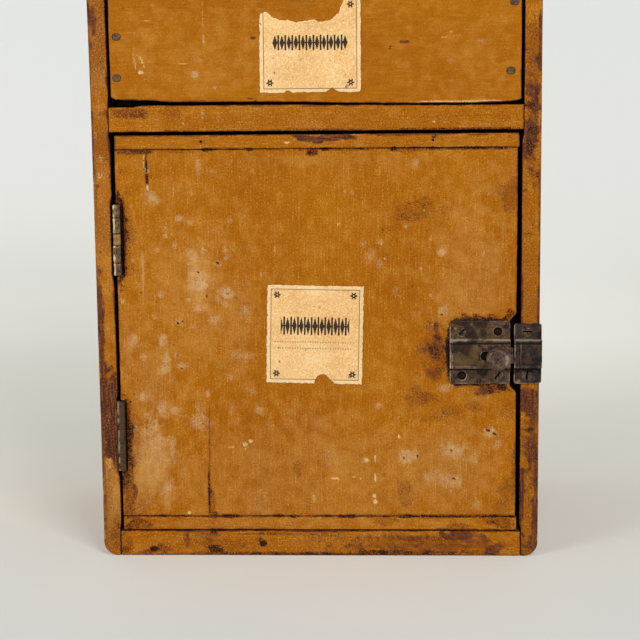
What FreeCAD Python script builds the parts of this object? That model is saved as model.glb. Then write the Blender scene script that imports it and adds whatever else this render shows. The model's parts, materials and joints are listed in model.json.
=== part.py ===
import FreeCAD, Part
import math
import os

# Apothecary cupboard: a nailed softwood box with one drawer above one clamp-ended door.
# Millimetres. +Z is up, the front faces -Y, and the origin is the middle of the footprint on the floor.

# Carcass
carcass_width = 316.0
carcass_depth = 240.0
side_thickness = 12.5
bottom_thickness = 18.5
shelf_thickness = 17.5
top_thickness = 16.0
top_overhang = 8.0
top_edge_round = 3.0
door_opening_height = 289.0
drawer_opening_height = 203.0
foot_round = 10.0
back_thickness = 9.0
back_rebate = 6.5
back_board_count = 3
back_board_gap = 0.6
# Largest shares of a board's thickness that its rounded edges may take
foot_limit = 0.95
edge_limit = 0.45

# How far a cutting solid runs past the surface that it opens, and how near counts as touching
overrun = 1.0
nearness = 1e-6
# Straight bands that stand for one curve of a turned profile, and flat facets round a turned form
curve_steps = 3
dome_steps = 5
turned_sides = 32

# Cut nails and brads: a tapered shank under a wider head, all of one thickness
nail_thickness = 2.2
nail_head_width = 4.4
nail_head_depth = 1.4
nail_shank_width = 2.8
nail_tip_width = 1.6
nail_clearance = 0.1
brad_thickness = 1.3
brad_head_width = 2.2
brad_shank_width = 1.5
brad_tip_width = 0.9
carcass_nail_length = 38.0
back_nail_length = 30.0
stop_nail_length = 20.0
drawer_nail_length = 34.0
brad_length = 10.0
nail_inset_front = 25.0
nail_inset_back = 32.0
back_nail_inset = 16.0

# Door: two boards held between a top and a bottom clamp by tongues in grooves
door_thickness = 14.5
door_gap_hinge = 2.3
door_gap_latch = 2.9
door_gap_top = 2.2
door_gap_bottom = 0.8
clamp_width = 10.2
narrow_board_width = 63.2
board_joint_gap = 0.4
panel_shrinkage = 1.0
tongue_thickness = 4.5
tongue_length = 7.0
tongue_clearance = 0.15
brad_rise = 5.0
brad_inset = 61.0
stop_width = 12.0
stop_depth = 12.0
stop_length = 80.0
stop_clearance = 0.3

# Butt hinges with five knuckles
hinge_length = 50.8
hinge_upper_z = 231.2
hinge_lower_z = 89.2
knuckle_count = 5
knuckle_radius = 3.15
knuckle_gap = 0.3
knuckle_relief = 0.4
knuckle_offset = 0.15
pin_radius = 1.5
pin_clearance = 0.05
pin_proud = 1.0
leaf_thickness = 1.3
leaf_spacing = 0.7
leaf_reach = 13.0
leaf_seat_clearance = 0.2
cove_radius = 6.3
cove_end_clearance = 0.8
hinge_screw_spread = 14.0
hinge_screw_setback = 8.8
hinge_screw_length = 11.0

# Slotted countersunk wood screws
screw_head_radius = 3.2
screw_shank_radius = 1.7
screw_tip_radius = 0.6
screw_head_depth = 1.9
screw_sides = 12
screw_slot_width = 0.8
screw_slot_depth = 0.8
screw_clearance = 0.15
frame_slot_angles = (20, 75, 110, 45)
door_slot_angles = (60, 10, 95, 150)
keeper_slot_angles = (90, 5)
case_slot_angles = (40, 130)

# Latch: a pressed case with a raised housing, a flat bolt and a turned knob
latch_z = 149.8
latch_setback = 5.8
bolt_drop = 0.9
case_width = 42.7
case_height = 45.0
case_thickness = 1.2
case_corner = 3.0
housing_height = 20.5
housing_rise = 6.5
housing_round = 1.0
case_hole_inset = 8.6
case_hole_rise = 15.85
case_screw_length = 11.0
bolt_thickness = 4.2
bolt_seat = 0.5
bolt_body_length = 19.0
bolt_clearance = 0.35
nose_height = 11.6
nose_projection = 2.4
nose_round = 0.9
tail_height = 4.4
tail_inset = 0.5
knob_setback = 9.9
bolt_retract = 8.0
bolt_throw = 4.2
stem_radius = 3.7
tenon_radius = 2.4
tenon_clearance = 0.1
stem_proud = 1.5
knob_waist = 1.1
knob_radius = 8.25
knob_underside = 2.5
knob_edge = 1.8
knob_rim = 2.2
knob_projection = 24.0
knob_rim_bulge = 0.45
knob_dish = 0.7
knob_dimple_radius = 1.1
knob_dimple_depth = 0.6

# Keeper on the front edge of the right side
keeper_gap = 0.6
keeper_width = 19.4
keeper_height = 43.4
keeper_corner = 2.0
keeper_box_height = 20.2
keeper_screw_inset = 9.2
keeper_screw_rise = 15.7
keeper_screw_length = 13.0
notch_depth = 4.6
notch_clearance = 2.2

# Drawer
drawer_gap_left = 2.2
drawer_gap_right = 1.8
drawer_gap_top = 2.5
drawer_lift_left = 4.3
drawer_lift_right = 2.2
drawer_front_thickness = 14.0
drawer_corner_round = 2.5
drawer_side_thickness = 11.0
drawer_side_relief = 9.0
drawer_run_clearance = 0.2
drawer_back_thickness = 10.0
drawer_back_gap = 4.0
drawer_bottom_thickness = 6.0
drawer_groove_depth = 4.5
drawer_groove_rise = 10.0
drawer_panel_clearance = 0.3
drawer_back_nail_inset = 30.0
# Nails of the drawer front as (distance in from its end, height above the shelf)
left_front_nails = [(3.2, 20.5), (3.6, 49.0)]
right_front_nails = [(7.6, 23.3), (5.3, 70.4)]
# Nails further up, as distances below the top of the drawer sides
upper_front_nails = [24.0, 76.0]
upper_nail_inset = 5.0
# Quarter turn that sets the heads of the front nails level
front_nail_roll = 90.0

# Turned drawer knob with a tenon through the front
pull_radius = 14.0
pull_neck_radius = 8.0
pull_waist = 2.0
pull_underside = 3.0
pull_projection = 25.0
pull_rim = 5.0
pull_tenon_radius = 5.5
pull_tenon_clearance = 0.1

# Paper labels
paper_thickness = 0.25
door_label_width = 69.3
door_label_height = 71.2
door_label_turn = -1.3
door_label_x = -2.2
door_label_z = 162.7
door_tear_from = 35.5
door_tear_width = 14.7
door_tear_height = 7.5
door_tear_crest = 5.8
drawer_label_width = 71.4
drawer_label_height = 68.0
drawer_label_x = -3.8
drawer_label_rise = 9.0
# Torn upper edge of the drawer label from right to left, as shares of its width and of its height
drawer_label_tear = [(0.826, 1.0), (0.817, 0.916), (0.782, 0.822), (0.683, 0.737), (0.542, 0.749),
                     (0.366, 0.721), (0.204, 0.743), (0.127, 0.784), (0.094, 0.825), (0.011, 0.804)]

# Places worked out from the sizes above
half_width = carcass_width / 2
inner_half = half_width - side_thickness
front_y = -carcass_depth / 2
back_y = carcass_depth / 2
back_face_y = back_y - back_thickness
shelf_z = bottom_thickness + door_opening_height
shelf_top_z = shelf_z + shelf_thickness
side_height = shelf_top_z + drawer_opening_height

door_x0 = -inner_half + door_gap_hinge
door_x1 = inner_half - door_gap_latch
door_z0 = bottom_thickness + door_gap_bottom
door_z1 = shelf_z - door_gap_top
door_back_y = front_y + door_thickness
board_joint_x = door_x0 + narrow_board_width

axis_x = -inner_half + knuckle_radius + knuckle_offset
axis_y = front_y - pin_proud
door_leaf_x = -inner_half + leaf_thickness + leaf_spacing

case_x1 = door_x1 - latch_setback
case_x0 = case_x1 - case_width
bolt_z = latch_z - bolt_drop
stem_x = case_x1 - knob_setback
bolt_back_y = front_y - bolt_seat
bolt_front_y = bolt_back_y - bolt_thickness
roof_y = front_y - housing_rise
nose_tip_x = case_x1 + nose_projection
body_x1 = stem_x + bolt_throw
keeper_x0 = nose_tip_x + keeper_gap
keeper_x1 = keeper_x0 + keeper_width

drawer_x0 = -inner_half + drawer_gap_left
drawer_x1 = inner_half - drawer_gap_right
drawer_top_z = side_height - drawer_gap_top
drawer_side_z0 = shelf_top_z + drawer_run_clearance
drawer_side_z1 = side_height - drawer_side_relief
drawer_inner_y = front_y + drawer_front_thickness
drawer_end_y = back_face_y - drawer_back_gap
drawer_groove_z = drawer_side_z0 + drawer_groove_rise
drawer_inside_x0 = drawer_x0 + drawer_side_thickness
drawer_inside_x1 = drawer_x1 - drawer_side_thickness
pull_x = (drawer_x0 + drawer_x1) / 2
pull_z = (shelf_top_z + drawer_top_z) / 2

RIGHT = FreeCAD.Vector(1, 0, 0)
LEFT = FreeCAD.Vector(-1, 0, 0)
INWARD = FreeCAD.Vector(0, 1, 0)
OUTWARD = FreeCAD.Vector(0, -1, 0)
DOWN = FreeCAD.Vector(0, 0, -1)
UP = FreeCAD.Vector(0, 0, 1)


def point(x, y, z):
    return FreeCAD.Vector(x, y, z)


def box(x0, x1, y0, y1, z0, z1):
    """Block between two corners."""
    return Part.makeBox(x1 - x0, y1 - y0, z1 - z0, point(x0, y0, z0))


def upright(x, y, radius, z0, z1):
    """Round bar that stands along Z."""
    return Part.makeCylinder(radius, z1 - z0, point(x, y, z0), UP)


def panel(outline, y0, y1):
    """Outline of (x, z) corners carried from y0 to y1."""
    corners = [point(x, y0, z) for x, z in outline]
    face = Part.Face(Part.makePolygon(corners + corners[:1]))
    return face.extrude(INWARD * (y1 - y0))


def edges_along(shape, direction, keep):
    """Straight edges that run along a direction and whose middle passes the test."""
    chosen = []
    for edge in shape.Edges:
        if len(edge.Vertexes) == 2:
            run = edge.Vertexes[1].Point - edge.Vertexes[0].Point
            if run.cross(direction).Length < nearness and keep(edge.CenterOfMass):
                chosen.append(edge)
    return chosen


def rounded_panel(x0, x1, z0, z1, radius, y0, y1):
    """Block with its four edges along Y rounded."""
    block = box(x0, x1, y0, y1, z0, z1)
    return block.makeFillet(radius, edges_along(block, INWARD, lambda middle: True))


def slot_bar(x0, x1, z, radius, y0, y1):
    """Round-ended slot along X, as the solid that cuts it."""
    ends = [Part.makeCylinder(radius, y1 - y0, point(x, y0, z), INWARD) for x in (x0, x1)]
    return box(x0, x1, y0, y1, z - radius, z + radius).fuse(ends).removeSplitter()


def turned(profile, sides, at, direction):
    """Turned form in flat facets: profile is (distance along, radius) from the point at, axis to axis."""
    turns = [2 * math.pi * i / sides for i in range(sides + 1)]
    rings = [[point(along, radius * math.cos(turn), radius * math.sin(turn)) for turn in turns]
             for along, radius in profile]
    facets = []
    for low, high in zip(rings, rings[1:]):
        for i in range(sides):
            corners = [low[i], low[i + 1], high[i + 1], high[i]]
            corners = [c for k, c in enumerate(corners) if (c - corners[k - 1]).Length > nearness]
            facets.append(Part.Face(Part.makePolygon(corners + corners[:1])))
    solid = Part.makeSolid(Part.makeShell(facets)).removeSplitter()
    solid.Placement = FreeCAD.Placement(at, FreeCAD.Rotation(RIGHT, direction))
    return solid


def curve(start, finish, bulge):
    """Profile points after start up to finish, on a parabola that stands off the chord by bulge."""
    points = []
    run = (finish[0] - start[0], finish[1] - start[1])
    length = math.hypot(run[0], run[1])
    for step in range(1, curve_steps + 1):
        share = step / curve_steps
        off = 4 * bulge * share * (1 - share)
        points.append((start[0] + run[0] * share - run[1] / length * off,
                       start[1] + run[1] * share + run[0] / length * off))
    return points


def nail(at, direction, length, grow=0.0, roll=0.0, brad=False):
    """Cut nail or brad driven from the point at, flush with the surface there."""
    head = (brad_head_width if brad else nail_head_width) / 2 + grow
    shank = (brad_shank_width if brad else nail_shank_width) / 2 + grow
    tip = (brad_tip_width if brad else nail_tip_width) / 2 + grow
    half = (brad_thickness if brad else nail_thickness) / 2 + grow
    end = length + grow
    under_head = nail_head_depth + grow
    outline = [(0, -head), (0, head), (under_head, head), (under_head, shank), (end, tip),
               (end, -tip), (under_head, -shank), (under_head, -head)]
    corners = [point(along, -half, across) for along, across in outline]
    face = Part.Face(Part.makePolygon(corners + corners[:1]))
    solid = face.extrude(INWARD * (2 * half))
    turn = FreeCAD.Rotation(RIGHT, direction).multiply(FreeCAD.Rotation(RIGHT, roll))
    solid.Placement = FreeCAD.Placement(at, turn)
    return solid


def nails(places, length, roll=0.0, brad=False):
    """Separate nails at (point, direction) places."""
    return Part.makeCompound([nail(at, direction, length, 0.0, roll, brad) for at, direction in places])


def nail_holes(places, length, roll=0.0, brad=False):
    """Solids that cut the nails' holes."""
    return [nail(at, direction, length, nail_clearance, roll, brad) for at, direction in places]


def screw_body(at, direction, length, grow):
    """Countersunk head on a tapered shank, both with flat sides for the filed head and the worn thread."""
    end = length + grow
    profile = [(0, 0), (0, screw_head_radius + grow), (screw_head_depth, screw_shank_radius + grow),
               (end, screw_tip_radius + grow), (end, 0)]
    return turned(profile, screw_sides, at, direction)


def screw(at, direction, length, slot_angle):
    """Countersunk screw with a straight slot turned by slot_angle degrees."""
    solid = screw_body(at, direction, length, 0.0)
    reach = screw_head_radius + overrun
    slot = Part.makeBox(2 * screw_slot_depth, 2 * reach, screw_slot_width,
                        point(-screw_slot_depth, -reach, -screw_slot_width / 2))
    turn = FreeCAD.Rotation(RIGHT, direction).multiply(FreeCAD.Rotation(RIGHT, slot_angle))
    slot.Placement = FreeCAD.Placement(at, turn)
    return solid.cut(slot)


def screws(places, length, slot_angles):
    """Separate screws at (point, direction) places."""
    made = [screw(at, direction, length, angle) for (at, direction), angle in zip(places, slot_angles)]
    return Part.makeCompound(made)


def screw_holes(places, length):
    """Solids that cut the screws' countersunk holes."""
    return [screw_body(at, direction, length, screw_clearance) for at, direction in places]


def depth_places():
    """Places along the depth where the carcass boards are nailed."""
    return [front_y + nail_inset_front, (front_y + back_face_y) / 2, back_face_y - nail_inset_back]


def side_nail_places(sign):
    """Nails through one side into the ends of the bottom and the shelf."""
    heights = [bottom_thickness / 2, shelf_z + shelf_thickness / 2]
    inward = LEFT if sign > 0 else RIGHT
    return [(point(sign * half_width, y, z), inward) for z in heights for y in depth_places()]


def top_nail_places(sign):
    """Nails down through the top into the upper end of one side."""
    x = sign * (half_width - side_thickness / 2)
    return [(point(x, y, side_height + top_thickness), DOWN) for y in depth_places()]


def back_spans():
    """(x0, x1) of each back board between the rebates of the sides."""
    reach = inner_half + back_rebate
    width = (2 * reach - (back_board_count - 1) * back_board_gap) / back_board_count
    return [(-reach + i * (width + back_board_gap), -reach + i * (width + back_board_gap) + width)
            for i in range(back_board_count)]


def back_nail_places():
    """Two nails per back board into the bottom and two into the shelf."""
    places = []
    for x0, x1 in back_spans():
        for z in (bottom_thickness / 2, shelf_z + shelf_thickness / 2):
            for x in (x0 + back_nail_inset, x1 - back_nail_inset):
                places.append((point(x, back_y, z), OUTWARD))
    return places


def stop_nail_places():
    """Two nails through the door stop into the right side."""
    y = door_back_y + stop_clearance + stop_depth / 2
    heights = (latch_z - stop_length / 4, latch_z + stop_length / 4)
    return [(point(inner_half - stop_width, y, z), RIGHT) for z in heights]


def hinge_heights():
    return {"upper": hinge_upper_z, "lower": hinge_lower_z}


def hinge_screw_places(z, leaf):
    """Two screws in one leaf, heads flush with the leaf's open face."""
    y = front_y + hinge_screw_setback
    heights = (z - hinge_screw_spread, z + hinge_screw_spread)
    if leaf == "frame":
        return [(point(-inner_half + leaf_thickness, y, height), LEFT) for height in heights]
    return [(point(door_leaf_x, y, height), RIGHT) for height in heights]


def all_hinge_screws(leaf):
    return [place for z in hinge_heights().values() for place in hinge_screw_places(z, leaf)]


def case_hole_places(kind):
    """Holes of the latch case: two still hold a screw and two are empty."""
    left = case_x0 + case_hole_inset
    right = case_x1 - case_hole_inset
    high = bolt_z + case_hole_rise
    low = bolt_z - case_hole_rise
    corners = {"screwed": [(left, high), (right, low)], "empty": [(right, high), (left, low)]}
    return [(point(x, front_y - case_thickness, z), INWARD) for x, z in corners[kind]]


def keeper_screw_places():
    x = keeper_x0 + keeper_screw_inset
    heights = (bolt_z + keeper_screw_rise, bolt_z - keeper_screw_rise)
    return [(point(x, front_y - case_thickness, z), INWARD) for z in heights]


def drawer_front_nail_places():
    """Nails through the drawer front into the ends of its sides."""
    places = [(drawer_x0 + inset, shelf_top_z + height) for inset, height in left_front_nails]
    places += [(drawer_x1 - inset, shelf_top_z + height) for inset, height in right_front_nails]
    for below in upper_front_nails:
        places.append((drawer_x0 + upper_nail_inset, drawer_side_z1 - below))
        places.append((drawer_x1 - upper_nail_inset, drawer_side_z1 - below))
    return [(point(x, front_y, z), INWARD) for x, z in places]


def drawer_back_nail_places():
    """Nails through the drawer sides into the ends of its back."""
    y = drawer_end_y - drawer_back_thickness / 2
    low = drawer_groove_z + drawer_bottom_thickness + drawer_back_nail_inset
    high = drawer_side_z1 - drawer_back_nail_inset
    places = [(point(drawer_x0, y, z), RIGHT) for z in (low, high)]
    return places + [(point(drawer_x1, y, z), LEFT) for z in (low, high)]


def brad_places():
    """Brads through the top clamp into the tongues behind it."""
    z = door_z1 - clamp_width + brad_rise
    return [(point(x, front_y, z), INWARD) for x in (door_x0 + brad_inset, door_x1 - brad_inset)]


def side_board(sign):
    """Full-height side with a rebate for the back and a worn lower outer corner."""
    inner = sign * inner_half
    outer = sign * half_width
    rebated = sign * (inner_half + back_rebate)
    board = box(min(inner, outer), max(inner, outer), front_y, back_y, 0, side_height)
    foot = edges_along(board, INWARD,
                       lambda middle: abs(middle.x - outer) < nearness and middle.z < nearness)
    board = board.makeFillet(min(foot_round, foot_limit * side_thickness), foot)
    rebate = box(min(inner, rebated), max(inner, rebated), back_face_y, back_y, 0, side_height)
    holes = [rebate] + nail_holes(side_nail_places(sign), carcass_nail_length)
    holes += nail_holes(top_nail_places(sign), carcass_nail_length)
    if sign > 0:
        holes += nail_holes(stop_nail_places(), stop_nail_length)
        holes += screw_holes(keeper_screw_places(), keeper_screw_length)
    else:
        holes += screw_holes(all_hinge_screws("frame"), hinge_screw_length)
    return board.cut(holes)


def cross_board(z0, z1):
    """Bottom or shelf between the sides, nailed through them and from the back."""
    board = box(-inner_half, inner_half, front_y, back_face_y, z0, z1)
    holes = nail_holes(side_nail_places(-1) + side_nail_places(1), carcass_nail_length)
    return board.cut(holes + nail_holes(back_nail_places(), back_nail_length))


def top_board():
    """Top that laps over the sides and the front, its open edges eased."""
    reach = half_width + top_overhang
    board = box(-reach, reach, front_y - top_overhang, back_y, side_height, side_height + top_thickness)
    front = edges_along(board, RIGHT, lambda middle: middle.y < 0)
    ends = edges_along(board, INWARD, lambda middle: True)
    board = board.makeFillet(min(top_edge_round, edge_limit * top_thickness), front + ends)
    return board.cut(nail_holes(top_nail_places(-1) + top_nail_places(1), carcass_nail_length))


def back_board(span):
    board = box(span[0], span[1], back_face_y, back_y, 0, side_height)
    return board.cut(nail_holes(back_nail_places(), back_nail_length))


def door_stop():
    y0 = door_back_y + stop_clearance
    block = box(inner_half - stop_width, inner_half, y0, y0 + stop_depth,
                latch_z - stop_length / 2, latch_z + stop_length / 2)
    return block.cut(nail_holes(stop_nail_places(), stop_nail_length))


def knuckle_spans(z):
    """(z0, z1) of each knuckle, with a running gap between neighbours."""
    step = hinge_length / knuckle_count
    low = z - hinge_length / 2
    return [(low + i * step + knuckle_gap / 2, low + (i + 1) * step - knuckle_gap / 2)
            for i in range(knuckle_count)]


def hinge_leaf(z, leaf):
    """One leaf: a plate, and knuckles that alternate with those of the other leaf."""
    frame = leaf == "frame"
    x0 = -inner_half if frame else door_leaf_x
    x1 = x0 + leaf_thickness
    back = front_y + leaf_reach
    plate_y = axis_y + knuckle_radius + knuckle_relief
    plate = box(x0, x1, plate_y, back, z - hinge_length / 2, z + hinge_length / 2)
    wrap_y = axis_y if frame else axis_y + (pin_radius + knuckle_radius) / 2
    rolled = []
    for z0, z1 in knuckle_spans(z)[0 if frame else 1::2]:
        rolled.append(upright(axis_x, axis_y, knuckle_radius, z0, z1))
        rolled.append(box(x0, x1, wrap_y, back, z0, z1))
    whole = plate.fuse(rolled).removeSplitter()
    bore = upright(axis_x, axis_y, pin_radius + pin_clearance, z - hinge_length, z + hinge_length)
    return whole.cut([bore] + screw_holes(hinge_screw_places(z, leaf), hinge_screw_length))


def hinge_pin(z):
    return upright(axis_x, axis_y, pin_radius, z - hinge_length / 2, z + hinge_length / 2)


def hinge_seat(z):
    """What is cut from the door for one hinge: a cove for the barrel and a seat for the leaf."""
    half = hinge_length / 2
    cove_half = half + cove_end_clearance
    cove = upright(axis_x, axis_y, cove_radius, z - cove_half, z + cove_half)
    clear = leaf_seat_clearance
    seat = box(door_x0 - overrun, door_leaf_x + leaf_thickness,
               front_y - overrun, front_y + leaf_reach + clear, z - half - clear, z + half + clear)
    return [cove, seat]


def tongue(x0, x1, z0, z1):
    middle = (front_y + door_back_y) / 2
    return box(x0, x1, middle - tongue_thickness / 2, middle + tongue_thickness / 2, z0, z1)


def door_board(x0, x1):
    """Door board with a tongue on each end."""
    z0 = door_z0 + clamp_width
    z1 = door_z1 - clamp_width
    reach = tongue_length - tongue_clearance
    board = box(x0, x1, front_y, door_back_y, z0, z1).fuse(tongue(x0, x1, z0 - reach, z1 + reach))
    return board.removeSplitter().cut(nail_holes(brad_places(), brad_length, brad=True))


def door_board_narrow():
    board = door_board(door_x0, board_joint_x - board_joint_gap / 2)
    seats = [seat for z in hinge_heights().values() for seat in hinge_seat(z)]
    return board.cut(seats + screw_holes(all_hinge_screws("door"), hinge_screw_length))


def keeper_notch():
    """Slope-ended notch that lets the door's edge pass the keeper."""
    low = bolt_z - keeper_height / 2 - notch_clearance
    high = bolt_z + keeper_height / 2 + notch_clearance
    deep = door_x1 - panel_shrinkage - notch_depth
    slope = notch_depth + overrun
    outline = [(deep + slope, low - slope), (deep, low), (deep, high), (deep + slope, high + slope)]
    return panel(outline, front_y - overrun, door_back_y + overrun)


def door_board_wide():
    board = door_board(board_joint_x + board_joint_gap / 2, door_x1 - panel_shrinkage)
    holes = screw_holes(case_hole_places("screwed") + case_hole_places("empty"), case_screw_length)
    return board.cut([keeper_notch()] + holes)


def door_clamp(top):
    """Cross strip with a groove for the tongues of the boards."""
    z0 = door_z1 - clamp_width if top else door_z0
    strip = box(door_x0, door_x1, front_y, door_back_y, z0, z0 + clamp_width)
    middle = (front_y + door_back_y) / 2
    half = tongue_thickness / 2 + tongue_clearance
    low = z0 - overrun if top else z0 + clamp_width - tongue_length
    high = z0 + tongue_length if top else z0 + clamp_width + overrun
    groove = box(door_x0 - overrun, door_x1 + overrun, middle - half, middle + half, low, high)
    return strip.cut([groove] + nail_holes(brad_places(), brad_length, brad=True))


def housing(x0, x1, height):
    """Raised block over the bolt with its two outer long edges rounded."""
    block = box(x0, x1, roof_y, front_y, bolt_z - height / 2, bolt_z + height / 2)
    long_edges = edges_along(block, RIGHT, lambda middle: middle.y < front_y - case_thickness)
    return block.makeFillet(housing_round, long_edges)


def housing_hollow(x0, x1, height):
    """Room for the bolt inside a housing, open to the wood behind."""
    half = height / 2 - case_thickness
    return box(x0, x1, roof_y + case_thickness, front_y + overrun, bolt_z - half, bolt_z + half)


def latch_case():
    """Pressed plate with a raised housing, a slot for the knob and openings at both ends."""
    wall = case_thickness
    low = latch_z - case_height / 2
    plate = rounded_panel(case_x0, case_x1, low, low + case_height, case_corner, front_y - wall, front_y)
    hollow = housing_hollow(case_x0 + wall, case_x1 - wall, housing_height)
    slot = slot_bar(stem_x - bolt_retract, stem_x + bolt_throw, bolt_z, stem_radius + bolt_clearance,
                    roof_y - overrun, roof_y + wall + overrun)
    nose = nose_height / 2 + bolt_clearance
    tail = tail_height / 2 + bolt_clearance
    mouth_y = bolt_front_y - bolt_clearance
    mouth = box(case_x1 - wall - overrun, case_x1 + overrun, mouth_y, front_y + overrun,
                bolt_z - nose, bolt_z + nose)
    tail_gate = box(case_x0 - overrun, case_x0 + wall + overrun, mouth_y, front_y + overrun,
                    bolt_z - tail, bolt_z + tail)
    holes = screw_holes(case_hole_places("screwed") + case_hole_places("empty"), case_screw_length)
    whole = plate.fuse(housing(case_x0, case_x1, housing_height)).removeSplitter()
    return whole.cut([hollow, slot, mouth, tail_gate] + holes)


def latch_bolt():
    """Flat bolt: a nose that leaves the case, a body guided by the housing and a tail."""
    half = housing_height / 2 - case_thickness - bolt_clearance
    body_x0 = body_x1 - bolt_body_length
    body = box(body_x0, body_x1, bolt_front_y, bolt_back_y, bolt_z - half, bolt_z + half)
    nose = box(body_x1 - overrun, nose_tip_x, bolt_front_y, bolt_back_y,
               bolt_z - nose_height / 2, bolt_z + nose_height / 2)
    tip = edges_along(nose, UP, lambda middle: middle.x > nose_tip_x - nearness)
    nose = nose.makeFillet(nose_round, tip)
    tail = box(case_x0 + tail_inset, body_x0 + overrun, bolt_front_y, bolt_back_y,
               bolt_z - tail_height / 2, bolt_z + tail_height / 2)
    hole = Part.makeCylinder(tenon_radius + tenon_clearance, 2 * bolt_thickness,
                             point(stem_x, bolt_front_y - overrun, bolt_z), INWARD)
    return body.fuse([nose, tail]).removeSplitter().cut(hole)


def latch_knob():
    """Turned knob: a tenon in the bolt, a stem through the slot, a waisted neck and a dished head."""
    reach = knob_projection - bolt_seat
    stem_end = (stem_proud + housing_rise - bolt_seat, stem_radius)
    under_head = (reach - knob_rim - knob_edge - knob_underside, knob_radius - knob_rim)
    rim_low = (reach - knob_rim - knob_edge, knob_radius)
    rim_high = (reach - knob_rim, knob_radius)
    face_edge = (reach, knob_radius - knob_rim)
    profile = [(0, 0), (0, tenon_radius), (bolt_thickness, tenon_radius)]
    profile += [(bolt_thickness, stem_radius), stem_end]
    profile += curve(stem_end, under_head, -knob_waist)
    profile += [rim_low, rim_high]
    profile += curve(rim_high, face_edge, knob_rim_bulge)
    profile += [(reach - knob_dish, knob_dimple_radius), (reach - knob_dish - knob_dimple_depth, 0)]
    return turned(profile, turned_sides, point(stem_x, bolt_back_y, bolt_z), OUTWARD)


def keeper():
    """Plate with a raised box, open towards the bolt and closed at its far end."""
    low = bolt_z - keeper_height / 2
    plate = rounded_panel(keeper_x0, keeper_x1, low, low + keeper_height, keeper_corner,
                          front_y - case_thickness, front_y)
    whole = plate.fuse(housing(keeper_x0, keeper_x1, keeper_box_height)).removeSplitter()
    hollow = housing_hollow(keeper_x0 - overrun, keeper_x1 - case_thickness, keeper_box_height)
    return whole.cut([hollow] + screw_holes(keeper_screw_places(), keeper_screw_length))


def drawer_groove(x0, x1, y0, y1):
    """Groove that takes the edge of the drawer bottom."""
    top = drawer_groove_z + drawer_bottom_thickness + drawer_panel_clearance
    return box(x0, x1, y0, y1, drawer_groove_z, top)


def drawer_front():
    """Front whose lower edge is out of square, with a groove for the bottom and a hole for the knob."""
    outline = [(drawer_x0, shelf_top_z + drawer_lift_left), (drawer_x1, shelf_top_z + drawer_lift_right),
               (drawer_x1, drawer_top_z), (drawer_x0, drawer_top_z)]
    front = panel(outline, front_y, drawer_inner_y)
    front = front.makeFillet(drawer_corner_round, edges_along(front, INWARD, lambda middle: True))
    groove = drawer_groove(drawer_inside_x0 - drawer_groove_depth, drawer_inside_x1 + drawer_groove_depth,
                           drawer_inner_y - drawer_groove_depth, drawer_inner_y + overrun)
    hole = Part.makeCylinder(pull_tenon_radius + pull_tenon_clearance, drawer_front_thickness + 2 * overrun,
                             point(pull_x, front_y - overrun, pull_z), INWARD)
    holes = nail_holes(drawer_front_nail_places(), drawer_nail_length, front_nail_roll)
    return front.cut([groove, hole] + holes)


def drawer_side(x0, x1, inner):
    """Side behind the front; inner is the x of its inside face."""
    board = box(x0, x1, drawer_inner_y, drawer_end_y, drawer_side_z0, drawer_side_z1)
    groove = drawer_groove(inner - drawer_groove_depth, inner + drawer_groove_depth,
                           drawer_inner_y - overrun, drawer_end_y + overrun)
    holes = nail_holes(drawer_front_nail_places(), drawer_nail_length, front_nail_roll)
    holes += nail_holes(drawer_back_nail_places(), back_nail_length)
    return board.cut([groove] + holes)


def drawer_back():
    z0 = drawer_groove_z + drawer_bottom_thickness + drawer_panel_clearance
    board = box(drawer_inside_x0, drawer_inside_x1, drawer_end_y - drawer_back_thickness, drawer_end_y,
                z0, drawer_side_z1)
    return board.cut(nail_holes(drawer_back_nail_places(), back_nail_length))


def drawer_bottom():
    """Loose panel in the grooves of the front and the sides, under the back."""
    reach = drawer_groove_depth - drawer_panel_clearance
    return box(drawer_inside_x0 - reach, drawer_inside_x1 + reach, drawer_inner_y - reach, drawer_end_y,
               drawer_groove_z, drawer_groove_z + drawer_bottom_thickness)


def drawer_knob():
    """Turned wooden knob: tenon, waisted neck and a head domed as half an ellipse."""
    depth = drawer_front_thickness
    reach = depth + pull_projection
    foot = (depth, pull_neck_radius)
    under_head = (reach - pull_rim - pull_underside, pull_radius - pull_underside)
    profile = [(0, 0), (0, pull_tenon_radius), (depth, pull_tenon_radius), foot]
    profile += curve(foot, under_head, -pull_waist)
    for step in range(dome_steps + 1):
        angle = math.pi / 2 * step / dome_steps
        profile.append((reach - pull_rim + pull_rim * math.sin(angle), pull_radius * math.cos(angle)))
    return turned(profile, turned_sides, point(pull_x, drawer_inner_y, pull_z), OUTWARD)


def door_label():
    """Paper square, slightly turned, with a bite torn out of its lower edge."""
    x0 = -door_label_width / 2
    z0 = -door_label_height / 2
    tear = x0 + door_tear_from
    start = point(tear, 0, z0)
    crest = point(tear + door_tear_crest, 0, z0 + door_tear_height)
    finish = point(tear + door_tear_width, 0, z0)
    corners = [finish, point(-x0, 0, z0), point(-x0, 0, -z0), point(x0, 0, -z0), point(x0, 0, z0), start]
    edges = [Part.LineSegment(a, b).toShape() for a, b in zip(corners, corners[1:])]
    edges.append(Part.Arc(start, crest, finish).toShape())
    sheet = Part.Face(Part.Wire(edges)).extrude(OUTWARD * paper_thickness)
    turn = FreeCAD.Rotation(OUTWARD, door_label_turn)
    sheet.Placement = FreeCAD.Placement(point(door_label_x, front_y, door_label_z), turn)
    return sheet


def drawer_label():
    """Paper square whose upper edge is torn away except at its right corner."""
    x0 = drawer_label_x - drawer_label_width / 2
    x1 = drawer_label_x + drawer_label_width / 2
    z0 = shelf_top_z + drawer_label_rise
    outline = [(x0, z0), (x1, z0), (x1, z0 + drawer_label_height)]
    for across, up in drawer_label_tear:
        outline.append((x0 + across * drawer_label_width, z0 + up * drawer_label_height))
    return panel(outline, front_y - paper_thickness, front_y)


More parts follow.
